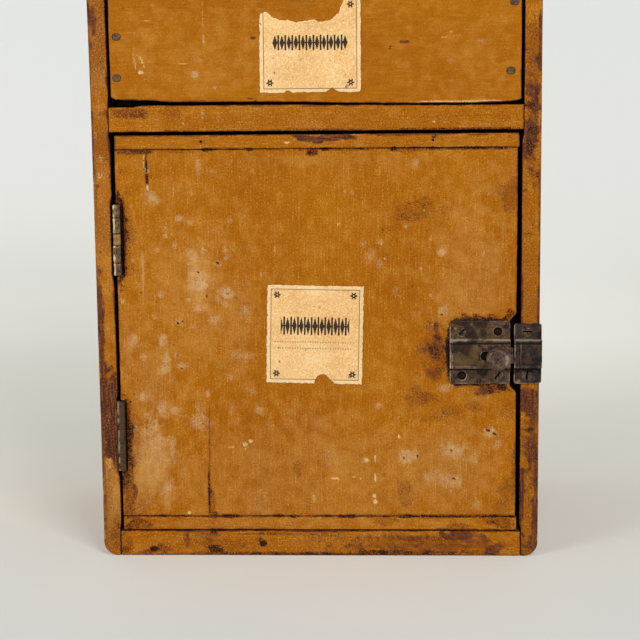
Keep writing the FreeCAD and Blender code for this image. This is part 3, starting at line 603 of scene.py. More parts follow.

# Marks on the front, each: x, z, half width, half height, strength
# Old water spots and dull scuffs
WATER_SPOTS = np.array([
    (-118, 262, 4.9, 4.9, 0.8), (-98, 247, 3.3, 3.3, 0.8), (-90, 243, 2.7, 2.7, 0.6),
    (-62, 245, 2.4, 2.7, 0.7), (-108, 234, 2, 2, 0.8), (-108, 240, 1.5, 1.5, 0.5),
    (-102, 227, 3, 4.3, 0.7), (-114, 224, 2, 2, 0.5), (-81, 223, 3.1, 3.1, 0.9), (-89, 220, 4.9, 5.4, 0.5),
    (-66, 224, 2.4, 2.9, 0.6), (-65, 218, 2, 1.7, 0.8), (-71, 214, 3.1, 3.1, 0.6),
    (-86, 205, 5.7, 7.9, 0.6), (-84, 198, 4.4, 4.4, 0.9), (-64, 193, 4.9, 4.9, 1),
    (-71, 189, 2.7, 2.7, 0.7), (-66, 185, 3.3, 2.9, 0.6), (-92, 188, 2.4, 2.2, 0.6),
    (-112, 192, 3.1, 3.1, 0.6), (-140, 188, 2.2, 2.2, 0.8), (-85, 182, 3.9, 4.3, 0.5),
    (-74, 174, 6.5, 3.6, 0.6), (-52, 181, 4.9, 4.3, 0.5), (-117, 176, 2.2, 2.2, 0.5),
    (-99, 172, 3.9, 3.3, 0.5), (-90, 169, 3.3, 3.3, 0.5), (-74, 280, 1.7, 1.7, 0.6),
    (-46, 280, 1.7, 1.7, 0.5), (-89, 265, 1.7, 3.2, 0.5), (-84, 284, 2.2, 9, 0.65),
    (-125, 211, 1.2, 14, 0.75), (-50, 202, 1.1, 8.6, 0.4), (-40, 207, 2.1, 2.1, 0.4),
    (-132, 255, 2.1, 2.1, 0.5), (-132, 217, 1.6, 1.6, 0.6), (-111, 159, 2.9, 4.7, 0.8),
    (-133, 157, 5, 5, 0.6), (-126, 147, 2.7, 3.3, 0.6), (-109, 145, 2.9, 4.7, 0.8),
    (-102, 148, 2.5, 2.5, 0.6), (-98, 140, 3.6, 3.6, 0.7), (-110, 138, 5, 4, 0.6),
    (-59, 148, 4.4, 3.6, 0.5), (-51, 147, 5, 3.6, 0.45), (-127, 118, 4.4, 3.6, 0.7),
    (-64, 131, 1.9, 3.3, 0.6), (-80, 120, 1.6, 3.3, 0.8), (-48, 121, 3.6, 3.2, 0.4),
    (-114, 110, 3.3, 5.1, 0.6), (-104, 108, 3.9, 3.6, 0.55), (-87, 110, 2.8, 3.3, 0.6),
    (-87, 99, 7.8, 6.5, 0.6), (-43, 108, 3.3, 2.9, 0.5), (-63, 107, 1.7, 3.3, 0.5),
    (-121, 86, 11.6, 20.4, 0.45), (-106, 76, 2.9, 10.2, 0.6), (-110, 52, 3.7, 5.8, 0.6),
    (-95, 32, 1.3, 1.3, 1), (-49, 85, 1.6, 1, 1), (-53, 83, 1.2, 1.4, 0.9), (91, 124, 6.4, 4.3, 0.7),
    (63, 74, 7.7, 5, 0.8), (97, 77, 9.9, 5.7, 0.75), (123, 92, 4.9, 4.3, 0.7), (130, 84, 4.2, 4.2, 0.6),
    (79, 59, 7.2, 5.8, 0.5), (98, 56, 8.6, 5.8, 0.55), (114, 39, 3.9, 3.3, 0.5), (34, 71, 2.6, 1.9, 1),
    (40, 45, 1.2, 1.4, 0.9), (40, 40, 1.3, 1.6, 1), (43, 111, 2.4, 2.4, 0.6), (58, 88, 1.1, 1.1, 0.9),
    (113, 70, 1.6, 1.3, 0.7), (70, 285, 2.4, 3.5, 0.5), (20, 265, 1.5, 1.8, 0.7), (25, 264, 1.5, 1.8, 0.7),
    (122, 263, 1.7, 1.3, 0.7), (80, 249, 2, 2, 0.6), (63, 240, 2.1, 2.1, 0.7), (45, 229, 2.1, 2.5, 0.6),
    (80, 231, 1.3, 1.3, 0.6), (88, 221, 3.5, 3.1, 1), (117, 220, 2.1, 2.1, 0.5), (73, 210, 1.5, 1.5, 0.7),
    (80, 191, 1.5, 1.5, 0.7), (55, 193, 3.8, 5, 0.4), (89, 179, 4.9, 4.6, 0.6), (73, 178, 1.5, 1.5, 0.5),
    (33, 228, 3.5, 3.5, 0.4), (38, 220, 4.3, 5, 0.5), (44, 213, 3.5, 5, 0.45), (7, 75, 7.2, 10.1, 0.3),
    (-13, 101, 14.4, 11.5, 0.2), (-42, 42, 6.6, 10.2, 0.25), (-80, 321, 1.3, 4.2, 0.6),
    (4, 348, 2.1, 2.1, 0.4), (-121.8, 350, 2.4, 3, 0.5), (-115, 356, 1.4, 1.4, 0.3),
    (94, 356, 2.8, 2.1, 0.4), (115, 369, 4.2, 2.1, 0.35), (-81, 357, 3.5, 2.1, 0.35),
    (-84.5, 346.8, 2.6, 2.6, 0.9), (-71, 337.5, 1.6, 1.6, 0.6),
])
# Broad thin haze in the varnish
VEILS = np.array([
    (0.6, 60.1, 137.6, 54.3, 0.13), (108.4, 194.5, 31.9, 85, 0.16), (-91.3, 188.1, 44.5, 71.8, 0.13),
    (-122.3, 66.5, 19, 34.8, 0.46), (-58.6, 172.1, 18.7, 50.2, 0.14), (-84.5, 198, 10, 33, 0.36),
    (90, 64, 46, 38, 0.19), (2.6, 287.1, 134, 6.3, 0.07), (107.7, 355.7, 27.8, 27.8, 0.05),
    (-59.9, 357.3, 84.3, 28.1, 0.06), (8, 71.2, 15.9, 17.4, 0.1), (-136.8, 152, 6.5, 24.6, 0.2),
    (-152, 40, 9, 36, 0.36), (-152, 230, 9, 90, 0.12), (-152, 380, 9, 70, 0.16), (-70, 24, 60, 9, 0.1),
    (-118, 130, 24, 40, 0.14), (0, 25, 140, 7, 0.1),
])
# Grime in seams, round the fittings and in specks, with painted shade by the hinges and in the gaps and a
# painted contact shadow along the foot
GRIME_AND_SHADE = np.array([
    (0, 315, 150, 9, 0.25), (0, 9, 150, 8, 0.25), (-139.1, 234.2, 3.6, 30.1, 0.8),
    (-142, 260.6, 3.2, 6.4, 0.85), (-135.5, 231.3, 5, 28.7, 0.4), (-138.4, 89, 3.6, 26.2, 0.8),
    (-133.3, 87.5, 5.1, 24.8, 0.36), (-140.6, 57.8, 3.7, 7.3, 0.8), (-138.5, 60, 4.6, 36, 0.6),
    (-134.6, 46.6, 2.9, 5.9, 0.5), (-132.3, 36.9, 6.6, 8.8, 0.3), (-120.5, 283.1, 0.7, 12.1, 1),
    (-120.4, 274.6, 1.5, 4.3, 0.9), (-120.6, 281, 2, 11, 0.5), (-117.3, 276.7, 0.7, 2.8, 0.7),
    (-129.7, 293.7, 14.2, 2.1, 0.7), (-96.4, 293.4, 15.6, 1.3, 0.45), (-18.5, 294.3, 28.2, 1.3, 0.4),
    (-3, 292.8, 4.2, 2.5, 0.7), (23.7, 294.3, 21.1, 1.4, 0.6), (65.9, 294, 21, 1.5, 0.65),
    (109, 294.6, 34, 1.6, 0.75), (70.8, 250.1, 18.3, 9.9, 0.4), (65.2, 246.6, 9.9, 6.4, 0.46),
    (76.4, 255, 9.9, 7, 0.44), (56.7, 238.8, 7.1, 4.2, 0.27), (80, 238.7, 5.6, 5.6, 0.25),
    (136.1, 260.9, 7.7, 11.2, 0.45), (129.1, 265.2, 5.6, 7, 0.3), (87.1, 198.1, 6.4, 5.7, 0.25),
    (118.2, 197.3, 5.7, 7.1, 0.25), (92, 201.7, 5.7, 2.1, 0.2), (117.7, 172.2, 25.5, 2.6, 1),
    (104.2, 175.5, 2.8, 3.5, 0.68), (112.7, 175.5, 3.5, 3.1, 0.62), (124, 175.4, 5.7, 2.8, 0.58),
    (136.8, 175.7, 3.5, 6.4, 0.85), (93.6, 150, 2.4, 24.2, 1), (90, 150, 3.6, 21.4, 0.55),
    (86.5, 152, 7, 15, 0.66), (82, 150, 12, 24, 0.42), (115.5, 173.6, 22, 2.6, 0.72),
    (85.3, 135.5, 6, 10, 0.6), (77.2, 116.6, 12.2, 6.4, 0.48), (70.8, 121.7, 5.7, 4.3, 0.42),
    (95.8, 107.1, 10, 5, 0.42), (110.1, 110, 7.2, 4.3, 0.45), (85.1, 102, 10, 4.3, 0.34),
    (115.8, 126.7, 21.4, 1.9, 0.7), (126, 122.5, 13, 3, 0.6), (133.6, 124.5, 5, 2.9, 0.95),
    (136.6, 106.3, 5, 11.4, 0.35), (75.8, 100.5, 3.6, 2.2, 0.35), (135.6, 49.1, 6.5, 17.3, 0.42),
    (132.8, 38, 8.6, 7.9, 0.38), (139.8, 56.4, 2.2, 25.9, 0.5), (62.1, 49, 5.1, 10.1, 0.42),
    (65, 41.6, 4.3, 4.3, 0.3), (46.9, 60.1, 2.9, 2.2, 0.4), (-16, 66, 5.1, 7.2, 0.45),
    (-8.2, 39.3, 2.9, 6.5, 0.35), (-11.5, 74.9, 2.2, 5.8, 0.25), (7.7, 41.5, 3.6, 10.2, 0.2),
    (-77.8, 39.2, 2.6, 10.2, 0.5), (-77.2, 30.3, 3.7, 2.9, 0.75), (-80, 48.9, 0.9, 19, 1),
    (-79.1, 86, 0.7, 29, 0.62), (101.8, 29.8, 40.4, 1.7, 0.75), (76.5, 29.7, 14.5, 2.3, 0.6),
    (36.7, 30, 29, 1.3, 0.6), (-14.2, 30, 43.7, 1.1, 0.5), (-116.4, 30.2, 32.2, 1.2, 0.6),
    (-136.2, 28.7, 7.3, 2.2, 0.6), (-132, 24.5, 10.3, 5.1, 0.6), (130, 26, 13, 4.2, 0.6),
    (47, 26, 10, 3.8, 0.45), (100, 22.5, 10, 1.9, 0.5), (0.3, 22.9, 43.7, 2.9, 0.2),
    (-58, 20.6, 29.2, 1.5, 0.35), (-120.6, 4.7, 3.7, 2.9, 0.95), (-116.9, 7, 2.9, 2.2, 0.7),
    (-126.5, 2.4, 8.8, 1.8, 0.6), (-97, 11.5, 2.2, 6.6, 0.6), (-77.1, 18.3, 2.9, 2.6, 0.95),
    (-76.6, 4.8, 5.1, 4.4, 0.85), (-40.9, 9, 3.3, 2.6, 0.95), (-43.5, 11.6, 2.9, 2.2, 0.6),
    (-142.7, 3.9, 4.4, 2.9, 0.7), (51.1, 2.8, 32, 1.9, 0.8), (0, 0.3, 170, 1.1, 0.9),
    (-36.4, 2.2, 65.8, 1.2, 0.6), (94.7, 2.9, 36.2, 1.8, 0.6), (78, 8, 82, 7.5, 0.46),
    (-70, 8, 22, 5.5, 0.45), (-37, 16.4, 29, 1.2, 0.6), (6, 15.8, 14, 2, 0.5), (-80, 15.4, 10, 2, 0.5),
    (-114, 4.6, 7, 2.6, 0.6), (-139.5, 9, 4.5, 8, 0.5), (72.9, 12.8, 32, 2.6, 0.55),
    (-129.8, 319.7, 15.6, 3.9, 0.6), (-139, 321, 6.5, 5, 0.6), (104, 308.4, 52, 0.9, 0.7),
    (7, 308.3, 36, 0.8, 0.55), (-104.3, 320.8, 9.9, 3.5, 0.4), (91.1, 317.2, 11.2, 2.8, 0.35),
    (20.4, 317, 14, 1.4, 0.3), (132.2, 316.1, 7, 4.2, 0.3), (-138.1, 326.4, 7.1, 1.4, 0.6),
    (-155.3, 269.9, 1.8, 1.8, 0.7), (-154.1, 234.3, 1.4, 1.4, 0.4), (151, 324.3, 5.6, 5.6, 0.75),
    (150.4, 308.3, 6.3, 6.3, 0.7), (150, 297, 3.5, 9, 0.6), (155.6, 275.5, 1.8, 2.1, 0.8),
    (145.9, 272.1, 1.4, 7, 0.4), (147.3, 265.1, 2.1, 2.1, 0.5), (150.4, 234.6, 6.3, 0.7, 0.75),
    (147.7, 218.5, 2.8, 8.4, 0.35), (151, 93.9, 7.1, 0.7, 0.75), (-153.5, 41.4, 3.7, 29.3, 0.4),
    (-149.4, 18.9, 4, 13, 0.6), (-150.3, 103, 5.5, 27, 0.5), (152, 326, 6, 66, 0.5),
    (152, 72, 6, 62, 0.45), (-155.1, 7.6, 4.4, 5.9, 0.5), (151, 8.3, 7.2, 3.6, 0.45),
    (-139, 40, 4.4, 20, 0.55), (-131, 34, 8, 9, 0.4), (-150, 12, 7, 14, 0.5),
])
# Places rubbed or chipped through to the wood
RUBS = np.array([
    (-150.9, 104, 6.4, 28, 1.1), (-155, 124, 4.4, 16, 1), (-147.4, 72, 2.6, 10, 0.9),
    (-150.2, 86, 6.2, 13, 1.3), (-155.4, 170, 2.6, 40, 0.85), (-156.2, 195.5, 1.6, 21.6, 0.55),
    (-156.3, 100.8, 2.9, 32, 0.8), (-156, 41.4, 1.6, 32.3, 0.6), (-153.1, 26.4, 3.7, 16.2, 0.35),
    (-155.9, 259.9, 1.1, 31.5, 0.5), (-157.7, 323.4, 1.3, 35.5, 0.5), (-157.4, 372, 1.3, 28.2, 0.5),
    (-153.8, 385.8, 2.1, 12.7, 0.75), (-157.6, 392, 2.2, 10, 0.85), (152.5, 322, 4.4, 40, 0.5),
    (154.4, 92, 3.6, 34, 0.64), (80, 7, 70, 3, 0.52), (60, 13.5, 40, 1.6, 0.55),
    (-155.8, 367.9, 1.1, 4.2, 0.6), (-154.1, 222.5, 1.1, 1.4, 0.9), (149.8, 304, 5, 20, 0.97),
    (147.1, 293.1, 3.5, 9.8, 0.8), (152.3, 333.3, 4.9, 6.9, 0.7), (153.4, 326, 3.8, 15, 0.8),
    (156.1, 369, 1.2, 27.6, 0.7), (156.1, 382.6, 1.7, 5.5, 0.8), (156.2, 353.9, 1.7, 8.3, 0.8),
    (156.8, 258, 1.1, 28, 0.6), (157.1, 201.4, 1.1, 28.2, 0.5), (150.8, 112.5, 6.6, 15.5, 0.85),
    (147.9, 115.8, 3.6, 5.7, 0.7), (155.5, 74.8, 2.9, 8.6, 0.9), (156.3, 56.5, 2.2, 21.5, 0.75),
    (155.9, 26.9, 2.9, 20.2, 0.8), (146.8, 42, 2.6, 26, 0.85), (152.6, 76, 3.4, 15, 0.85),
    (154.7, 8.3, 3.6, 5.1, 0.8), (157.2, 118.7, 1.1, 21.4, 0.6), (101.9, 14.9, 18, 4, 0.76),
    (114.9, 11.2, 14.5, 4.3, 0.6), (125.1, 5.2, 6.5, 4.3, 0.7), (109.1, 16.4, 10.1, 2.2, 0.45),
    (-76.5, 11.6, 4.4, 7.3, 0.45), (-96.3, 10, 2.2, 5.9, 0.5), (-58.2, 8.6, 21.9, 2.9, 0.3),
    (130.1, 123.4, 2.1, 2.9, 0.3), (120.1, 121.6, 6.4, 3.2, 0.7), (84.3, 152.9, 8.6, 16.3, 0.52),
    (81.5, 134, 6.4, 7.1, 0.5), (-134.3, 46.6, 2.2, 6.6, 0.6), (-138.9, 36.2, 3.7, 6.6, 0.4),
    (-7.9, 302.3, 7.7, 2.4, 0.95), (9.7, 302.8, 9.8, 2.4, 0.98), (21, 303.1, 5.6, 2.5, 0.98),
    (1.3, 300.4, 4.2, 2.1, 0.9), (-14.2, 304.1, 3.5, 1.7, 0.8), (-24.8, 299.9, 2.1, 1, 0.4),
    (-105.3, 308.6, 2.1, 0.8, 0.9), (-65, 324.7, 5.6, 0.8, 0.9), (-46.3, 329.6, 2.8, 0.7, 0.9),
    (-88.7, 324.9, 14.1, 0.6, 0.6), (51.9, 304.2, 15.4, 0.7, 0.7), (86.9, 304.7, 14, 0.8, 0.7),
    (113.5, 304.1, 9.8, 0.7, 0.7), (135.8, 302.2, 3.5, 2.1, 0.5), (82.4, 302.6, 1.8, 1.1, 0.95),
    (-14.4, 1.8, 87.6, 0.7, 0.6), (72.9, 2.1, 58.1, 0.9, 0.6), (61.8, 368.7, 5.6, 0.6, 0.95),
    (52, 364.1, 1.4, 1.4, 0.8), (-43.6, 372.3, 3.5, 0.6, 0.9), (-85.7, 258.1, 1.9, 1.6, 0.55),
    (-73.7, 370.5, 1.4, 1, 0.6), (-54.8, 368.3, 1.1, 0.7, 0.6), (-66.4, 367.7, 1.1, 0.8, 0.6),
])
# Pale chips and scratches
CHALK = np.array([
    (-94.7, 32, 1.3, 1.3, 1), (-49.3, 85.2, 1.6, 1.1, 1), (-53.4, 82.8, 1.6, 1.6, 0.8),
    (-52.8, 78.6, 0.9, 2.5, 0.5), (-65.8, 80.8, 7.3, 0.6, 0.4), (34.4, 71.2, 2.2, 1.5, 0.6),
    (40.3, 71.9, 0.6, 3.2, 0.9), (40.4, 58.3, 0.7, 3.6, 0.9), (40.1, 44.5, 1.2, 1.3, 0.9),
    (40.5, 40.1, 1.4, 1.6, 1), (11.5, 57.5, 2.9, 0.7, 0.8), (24.9, 58.6, 1.7, 0.9, 0.7),
    (29.9, 57.4, 0.9, 1.2, 0.9), (57.7, 88.5, 1.2, 1, 0.9), (112.7, 69.9, 1.5, 0.7, 0.4),
    (87.9, 82.3, 0.8, 0.7, 0.7), (75.5, 251.5, 0.8, 0.8, 1), (48.3, 216.9, 0.8, 0.9, 1),
    (-3.9, 43, 0.7, 11.6, 0.5), (-121.8, 348, 2.9, 1.7, 0.8), (-126.6, 360.5, 0.6, 3, 0.5),
    (-125.9, 356.5, 0.6, 3, 0.6), (-125.2, 352.5, 0.6, 3, 0.6), (-123.8, 361.3, 1.5, 0.7, 0.5),
    (-121.8, 359, 1.2, 1.4, 0.5), (-120.2, 356, 0.7, 2.2, 0.55), (-118.8, 352.6, 0.6, 2.6, 0.6),
    (-117, 384.5, 5.6, 0.5, 0.5), (-78.4, 388, 0.6, 12, 0.42), (-78, 372, 0.9, 7, 0.45),
    (-110.7, 352.9, 1.7, 0.6, 0.5), (-92.3, 354.5, 4.2, 0.6, 0.5), (-116.5, 342.5, 4.9, 0.6, 0.4),
    (-80, 316.5, 0.7, 4.9, 0.5), (-93.5, 313.4, 0.8, 1, 0.8), (-20.9, 299.6, 2.3, 0.8, 0.8),
    (4.1, 305, 2.3, 1.7, 0.8), (-14.2, 301.6, 4.2, 0.9, 0.4), (94.8, 375.7, 1.5, 0.7, 0.7),
    (89.6, 371.9, 2.8, 0.6, 0.5), (104.8, 377, 2.1, 0.5, 0.5), (100.8, 328.6, 39, 0.8, 0.8),
    (82.7, 313.4, 1.3, 0.9, 0.7), (-122.4, 286.6, 0.8, 5.4, 0.5), (-122.4, 290.8, 0.7, 3, 0.4),
    (-120, 269.6, 0.9, 3.6, 0.7), (-120.2, 280.2, 1.6, 2.8, 0.6), (118.1, 228.2, 2.8, 1.1, 0.3),
    (142.8, 74.5, 0.7, 0.9, 0.9), (141.7, 25.4, 0.9, 2.9, 0.6), (-101.8, 273, 0.5, 11.4, 0.35),
    (-30, 225.8, 0.6, 7.1, 0.4), (-97.5, 308.9, 0.7, 0.7, 0.5), (15.6, 241.9, 2.1, 1.6, 0.4),
    (141.2, 331.3, 1, 5.6, 0.3), (-153.3, 276.9, 2.1, 2.1, 0.4), (-151.9, 289.6, 1.7, 3.6, 0.35),
    (-156.7, 348.5, 1.4, 1.4, 0.35), (-155, 305.8, 1.1, 3.6, 0.35), (-156.4, 56.3, 3.7, 14.6, 0.35),
    (-152.7, 69.7, 2.2, 5.8, 0.4),
])
# Painted shade of small holes, and of the wood seen through the two empty latch holes
SMALL_HOLE_SHADE = np.array([
    (-70.9, 214.5, 1.2, 1.1, 1), (-84.9, 208, 0.9, 0.9, 0.9), (-64.7, 193, 0.9, 1, 0.8),
    (-100.3, 171.4, 0.9, 0.9, 0.9), (-97, 172.5, 0.8, 0.8, 0.9), (-79.2, 190.9, 0.7, 0.7, 0.8),
    (71.5, 257.8, 0.8, 0.8, 0.9), (64.5, 256.7, 0.8, 0.8, 0.8), (46.3, 237.5, 1, 0.8, 0.9),
    (64.4, 243.7, 0.8, 0.8, 0.7), (61, 72.7, 0.8, 0.8, 0.9), (70.8, 74.1, 0.8, 0.8, 0.9),
    (95.1, 78.2, 0.8, 0.8, 0.9), (97.3, 57.5, 0.9, 0.8, 0.9), (121.4, 93.2, 1.1, 1, 1),
    (126.3, 90.5, 1, 0.9, 1), (-89, 81, 0.9, 0.8, 0.9), (88.5, 177.3, 0.9, 0.9, 0.8),
    (67.6, 197.1, 0.6, 0.6, 0.7), (84.1, 304, 1.3, 0.7, 0.9), (-101.5, 147.8, 0.7, 0.7, 0.8),
    (-98.2, 138.5, 0.8, 0.8, 0.9), (-103.5, 155.6, 0.6, 0.6, 0.7), (-83.7, 97.8, 0.7, 0.7, 0.7),
    (18, 49.7, 0.7, 0.7, 0.7), (-62.4, 336.2, 0.7, 0.7, 0.6), (-42.1, 328, 0.7, 0.6, 0.6),
    (52, 365.9, 0.8, 0.7, 0.7), (42.3, 284.7, 0.7, 1.1, 0.6), (115, 285.6, 0.7, 1, 0.5),
    (-11.5, 293.9, 1.1, 1, 0.9), (-4.4, 292.1, 1.3, 1.4, 0.9), (4, 293.8, 1.3, 0.9, 0.9),
    (-126.4, 193.6, 0.6, 0.9, 0.6), (-102.9, 185.2, 0.6, 0.7, 0.6), (-133.2, 119.9, 0.7, 0.7, 0.6),
    (-124.7, 95.2, 0.7, 0.7, 0.6), (128.5, 164.8, 2.4, 2.4, 1), (102.2, 133.4, 2.4, 2.4, 1),
])


def spots(points, marks, least=0.0, core=0.6, rough=1.0, edge=1.3):
    """Strongest of the ragged ovals at each point of the front, 0 outside them all.

    An oval is full inside its core and fades to nothing at its edge, both as shares of its half sizes;
    noise shifts its outline by how rough it is, and thins it.
    """
    far = 150.0
    low = points.min(axis=0) - far
    high = points.max(axis=0) + far
    waver = 1.8 * (cloud(points, 7.0, 71) - 0.5) + 0.9 * (noise(points / 1.7, 75) - 0.5)
    thin = 0.75 + 0.5 * noise(points / 2.3, 77)
    field = np.zeros(len(points))
    for x, z, wide, tall, strength in marks:
        if low[0] < x < high[0] and low[2] < z < high[2]:
            across = (points[:, 0] - x) / max(wide, least)
            upward = (points[:, 2] - z) / max(tall, least)
            loose = rough * min(1.0, min(wide, tall) / 4.0)
            outward = np.hypot(across, upward) * np.clip(1 + loose * waver, 0.6, 1.8)
            field = np.maximum(field, strength * smooth(edge, core, outward))
    return field * thin


def plank(low, high, pitch, radius, seed, fine=((), (), ()), ease=None, wave=0.22):
    """Board with hand-worn arrises.

    Each point of a gridded box is drawn in to a core that lies one radius inside the box and set back a
    radius from it, which rounds every edge; the radius wanders along the board, and a shallow waviness
    is taken off the faces. Gives the points, quads and the points before rounding.
    """
    low = np.array(low, dtype=float)
    high = np.array(high, dtype=float)
    lines = []
    for axis in range(3):
        rise = [radius * share for share in (0.15, 0.4, 0.7, 1.1)]
        near = [low[axis] + r for r in rise] + [high[axis] - r for r in rise]
        lines.append(ruled(low[axis], high[axis], pitch[axis], near + list(fine[axis])))
    square, quads = box_grid(*lines)
    round_off = radius * (0.35 + 0.9 * cloud(square, 14.0, seed) + 0.3 * noise(square / 3.0, seed + 4))
    if ease:
        round_off = round_off * ease(square)
    round_off = round_off[:, None]
    core = np.clip(square, low + round_off, high - round_off)
    out = square - core
    out = out / np.linalg.norm(out, axis=1, keepdims=True)
    sunk = wave * cloud(square, 45.0, 5, 2)[:, None]
    return core + out * (round_off - sunk), quads, square


def edge_distance(square, low, high, closed):
    """Distance of each point of a box's surface to its nearest edge; edges of the closed faces don't count.

    closed is a sign for each axis, -1 for the low face, 1 for the high one and 0 for neither.
    """
    far = 1e3
    from_low = square - low + np.where(np.array(closed) < 0, far, 0)
    from_high = np.array(high) - square + np.where(np.array(closed) > 0, far, 0)
    return np.sort(np.minimum(from_low, from_high), axis=1)[:, 1]


def age(square, edge, seed, bare, edge_rub, soiled):
    """Wear of a painted board, each kind from 0 up: by chance along its edges, by the marks on its front.

    edge is the distance to the nearest edge, edge_rub the most that is rubbed off there, bare where the board
    has no paint and soiled the least grime and painted shade on it.
    """
    front = square[:, 1] < FRONT + 1.2
    patchy = cloud(square, 22.0, seed + 20)
    fine = cloud(square, 4.0, seed + 30)
    reach = 0.5 + 2.2 * smooth(0.4, 0.75, patchy)
    rub = edge_rub * np.exp(-(edge / reach) ** 2) * smooth(0.35, 0.6, fine * 0.5 + patchy * 0.5)
    seam = np.exp(-edge / (0.3 + 0.9 * cloud(square, 30.0, seed + 40, 2)))
    soil = 0.95 * seam * smooth(0.25, 0.65, cloud(square, 10.0, seed + 50))
    soil = np.maximum(soil, 0.2 * smooth(0.55, 0.8, cloud(square, 40.0, seed + 60)))
    soil = np.maximum(soil, soiled)
    bloom = (0.1 + 0.5 * smooth(0.6, 0.8, cloud(square, 11.0, seed + 70))) * ~front
    haze = 0.05 + np.zeros(len(square))
    chalk = 0.6 * np.exp(-(edge / 0.7) ** 2) * smooth(0.6, 0.72, cloud(square, 26.0, seed + 80, 2))
    face = square[front]
    bloom[front] = spots(face, WATER_SPOTS, core=0.35, rough=0.8, edge=1.5)
    haze[front] = 0.02 + spots(face, VEILS, core=0.2)
    soil[front] = np.maximum(soil[front], spots(face, GRIME_AND_SHADE))
    soil[front] = np.maximum(soil[front], 1.2 * spots(face, SMALL_HOLE_SHADE, 0.85))
    rub[front] = np.maximum(rub[front], spots(face, RUBS, 0.9))
    chalk[front] = np.maximum(chalk[front], spots(face, CHALK, 0.7))
    return {"rub": rub, "soil": soil, "bloom": bloom, "haze": haze, "chalk": chalk, "bare": bare}


def painted_board(name, low, high, pitch, radius, seed, material, body, shape=None, bare=None,
                  fine=((), (), ()), ease=None, edge_rub=0.7, closed=(0, 0, 0), soiled=None, grain=1.0):
    """Plank with paint wear: shape bends its points, bare marks no paint, soiled grime and painted shade."""
    points, quads, square = plank(low, high, pitch, radius, seed, fine, ease)
    if shape:
        points = shape(points, square)
    edge = edge_distance(square, low, high, closed)
    values = age(square, edge, seed, bare(square) if bare else 0.0, edge_rub,
                 soiled(square) if soiled else 0.0)
    made = write_mesh("worn_" + name, points, quads, grain=grain, **values)
    return dress(made, material, body, "painted_wood", name)


def lean(points):
    """Shift in x of the front edge of the left side, which leans out a little towards the top."""
    return np.interp(points[:, 2], LEAN_HEIGHTS, LEAN_SHIFTS) * smooth(-30, -100, points[:, 1])


def side_shape(sign):
    """Shape of one side board.

    It has a rebate for the back boards along its inner back edge and a rounded foot on its outer lower edge.
    The left one leans, and the front edge of both stands in towards the door.
    """
    def shape(points, square):
        points = points.copy()
        out = points[:, 0] * sign
        out = np.where(square[:, 1] > BACK_FACE, HALF - (HALF - out) * REBATE / (HALF - INNER), out)
        from_x = out - (HALF - FOOT)
        from_z = points[:, 2] - FOOT
        turn = (from_x > 0) & (from_z < 0)
        length = np.hypot(from_x, from_z)
        pull = np.where(turn & (length > FOOT), FOOT / np.maximum(length, 1e-6), 1.0)
        points[:, 0] = sign * np.where(turn, HALF - FOOT + from_x * pull, out)
        points[:, 2] = np.where(turn, FOOT + from_z * pull, points[:, 2])
        points[:, 0] += lean(points) * (sign < 0)
        shift = np.interp(square[:, 2], STAND_IN_HEIGHTS[sign], STAND_IN_SHIFTS[sign])
        share = (HALF - square[:, 0] * sign) / (HALF - INNER) * smooth(FRONT + 17, FRONT + 13, square[:, 1])
        points[:, 0] -= sign * shift * share
        return points
    return shape


def shelf_shape(points, square):
    """Left end of the shelf follows the side it is housed in, and paint stands up along its front edge."""
    points = points.copy()
    points[:, 0] += lean(points) * smooth(-100, -INNER, square[:, 0])
    lip = np.interp(square[:, 0], LIP_X, LIP_RISE) * smooth(FRONT + 12, FRONT + 6, square[:, 1])
    points[:, 2] += lip * smooth(SHELF_HIGH - 6, SHELF_HIGH, square[:, 2])
    return points


# Fine grid lines close behind the front, for boards whose depth is gridded coarsely
FRONT_LINES = np.arange(FRONT + 2, FRONT + 14, 1.5)


def make_sides():
    """Two side boards, painted except inside, with painted shade in the door gap and blots near the front."""
    for name, sign in (("left_side", -1), ("right_side", 1)):
        low = (min(sign * INNER, sign * HALF), FRONT, 0)
        high = (max(sign * INNER, sign * HALF), BACK, SIDE_TOP)

        def unpainted(square, sign=sign):
            inner = square[:, 0] * sign < INNER + 0.5
            return (inner & (square[:, 1] > FRONT + 16)) * 1.0

        def gap_shade_and_blots(square, sign=sign):
            # Painted shade on the inner face seen through the door gap, wider by the left upper hinge
            wide = 0.4 + 1.1 * smooth(28, 24, np.abs(square[:, 2] - HINGE_HEIGHTS["upper"])) * (sign < 0)
            gap = smooth(wide, 0.3 * wide, square[:, 0] * sign - INNER) * (square[:, 1] < FRONT + 17)
            near = smooth(FRONT + 30, FRONT + 4, square[:, 1])
            blots = 0.3 * near + 0.03 * sign + (0.12 + 0.38 * near) * (cloud(square, 30.0, 15, 2) - 0.5)
            return np.maximum(blots, 1.3 * gap)

        def tight(square, sign=sign):
            return np.where(square[:, 0] * sign < INNER + 3, 0.4, 1.0)

        lines = ((), list(FRONT_LINES) + [BACK_FACE - 0.05, BACK_FACE + 0.05], ())
        painted_board(name, low, high, (1.2, 5.0, 1.3), 1.3, 11 + sign, PAINT_UPRIGHT, "carcass",
                      side_shape(sign), unpainted, lines, tight, edge_rub=0.95, soiled=gap_shade_and_blots, grain=1.2)


def gap_shade(square):
    """Painted shade, black, in the gaps where the shelf and bottom meet the door, the drawer and the sides.
    """
    away = np.minimum.reduce([np.abs(square[:, 2] - z) for z in (BOTTOM_HIGH, SHELF_LOW, SHELF_HIGH)])
    ends = INNER - np.abs(square[:, 0]) + 1.5 * smooth(0.0, 0.5, square[:, 2] / SHELF_LOW)
    ragged = 0.8 * cloud(square, 5.0, 34)
    field = np.maximum(smooth(0.8, 0.1, away + ragged), 0.8 * smooth(2.2, 0.4, ends + 2 * ragged))
    return field * (square[:, 1] < FRONT + 3)


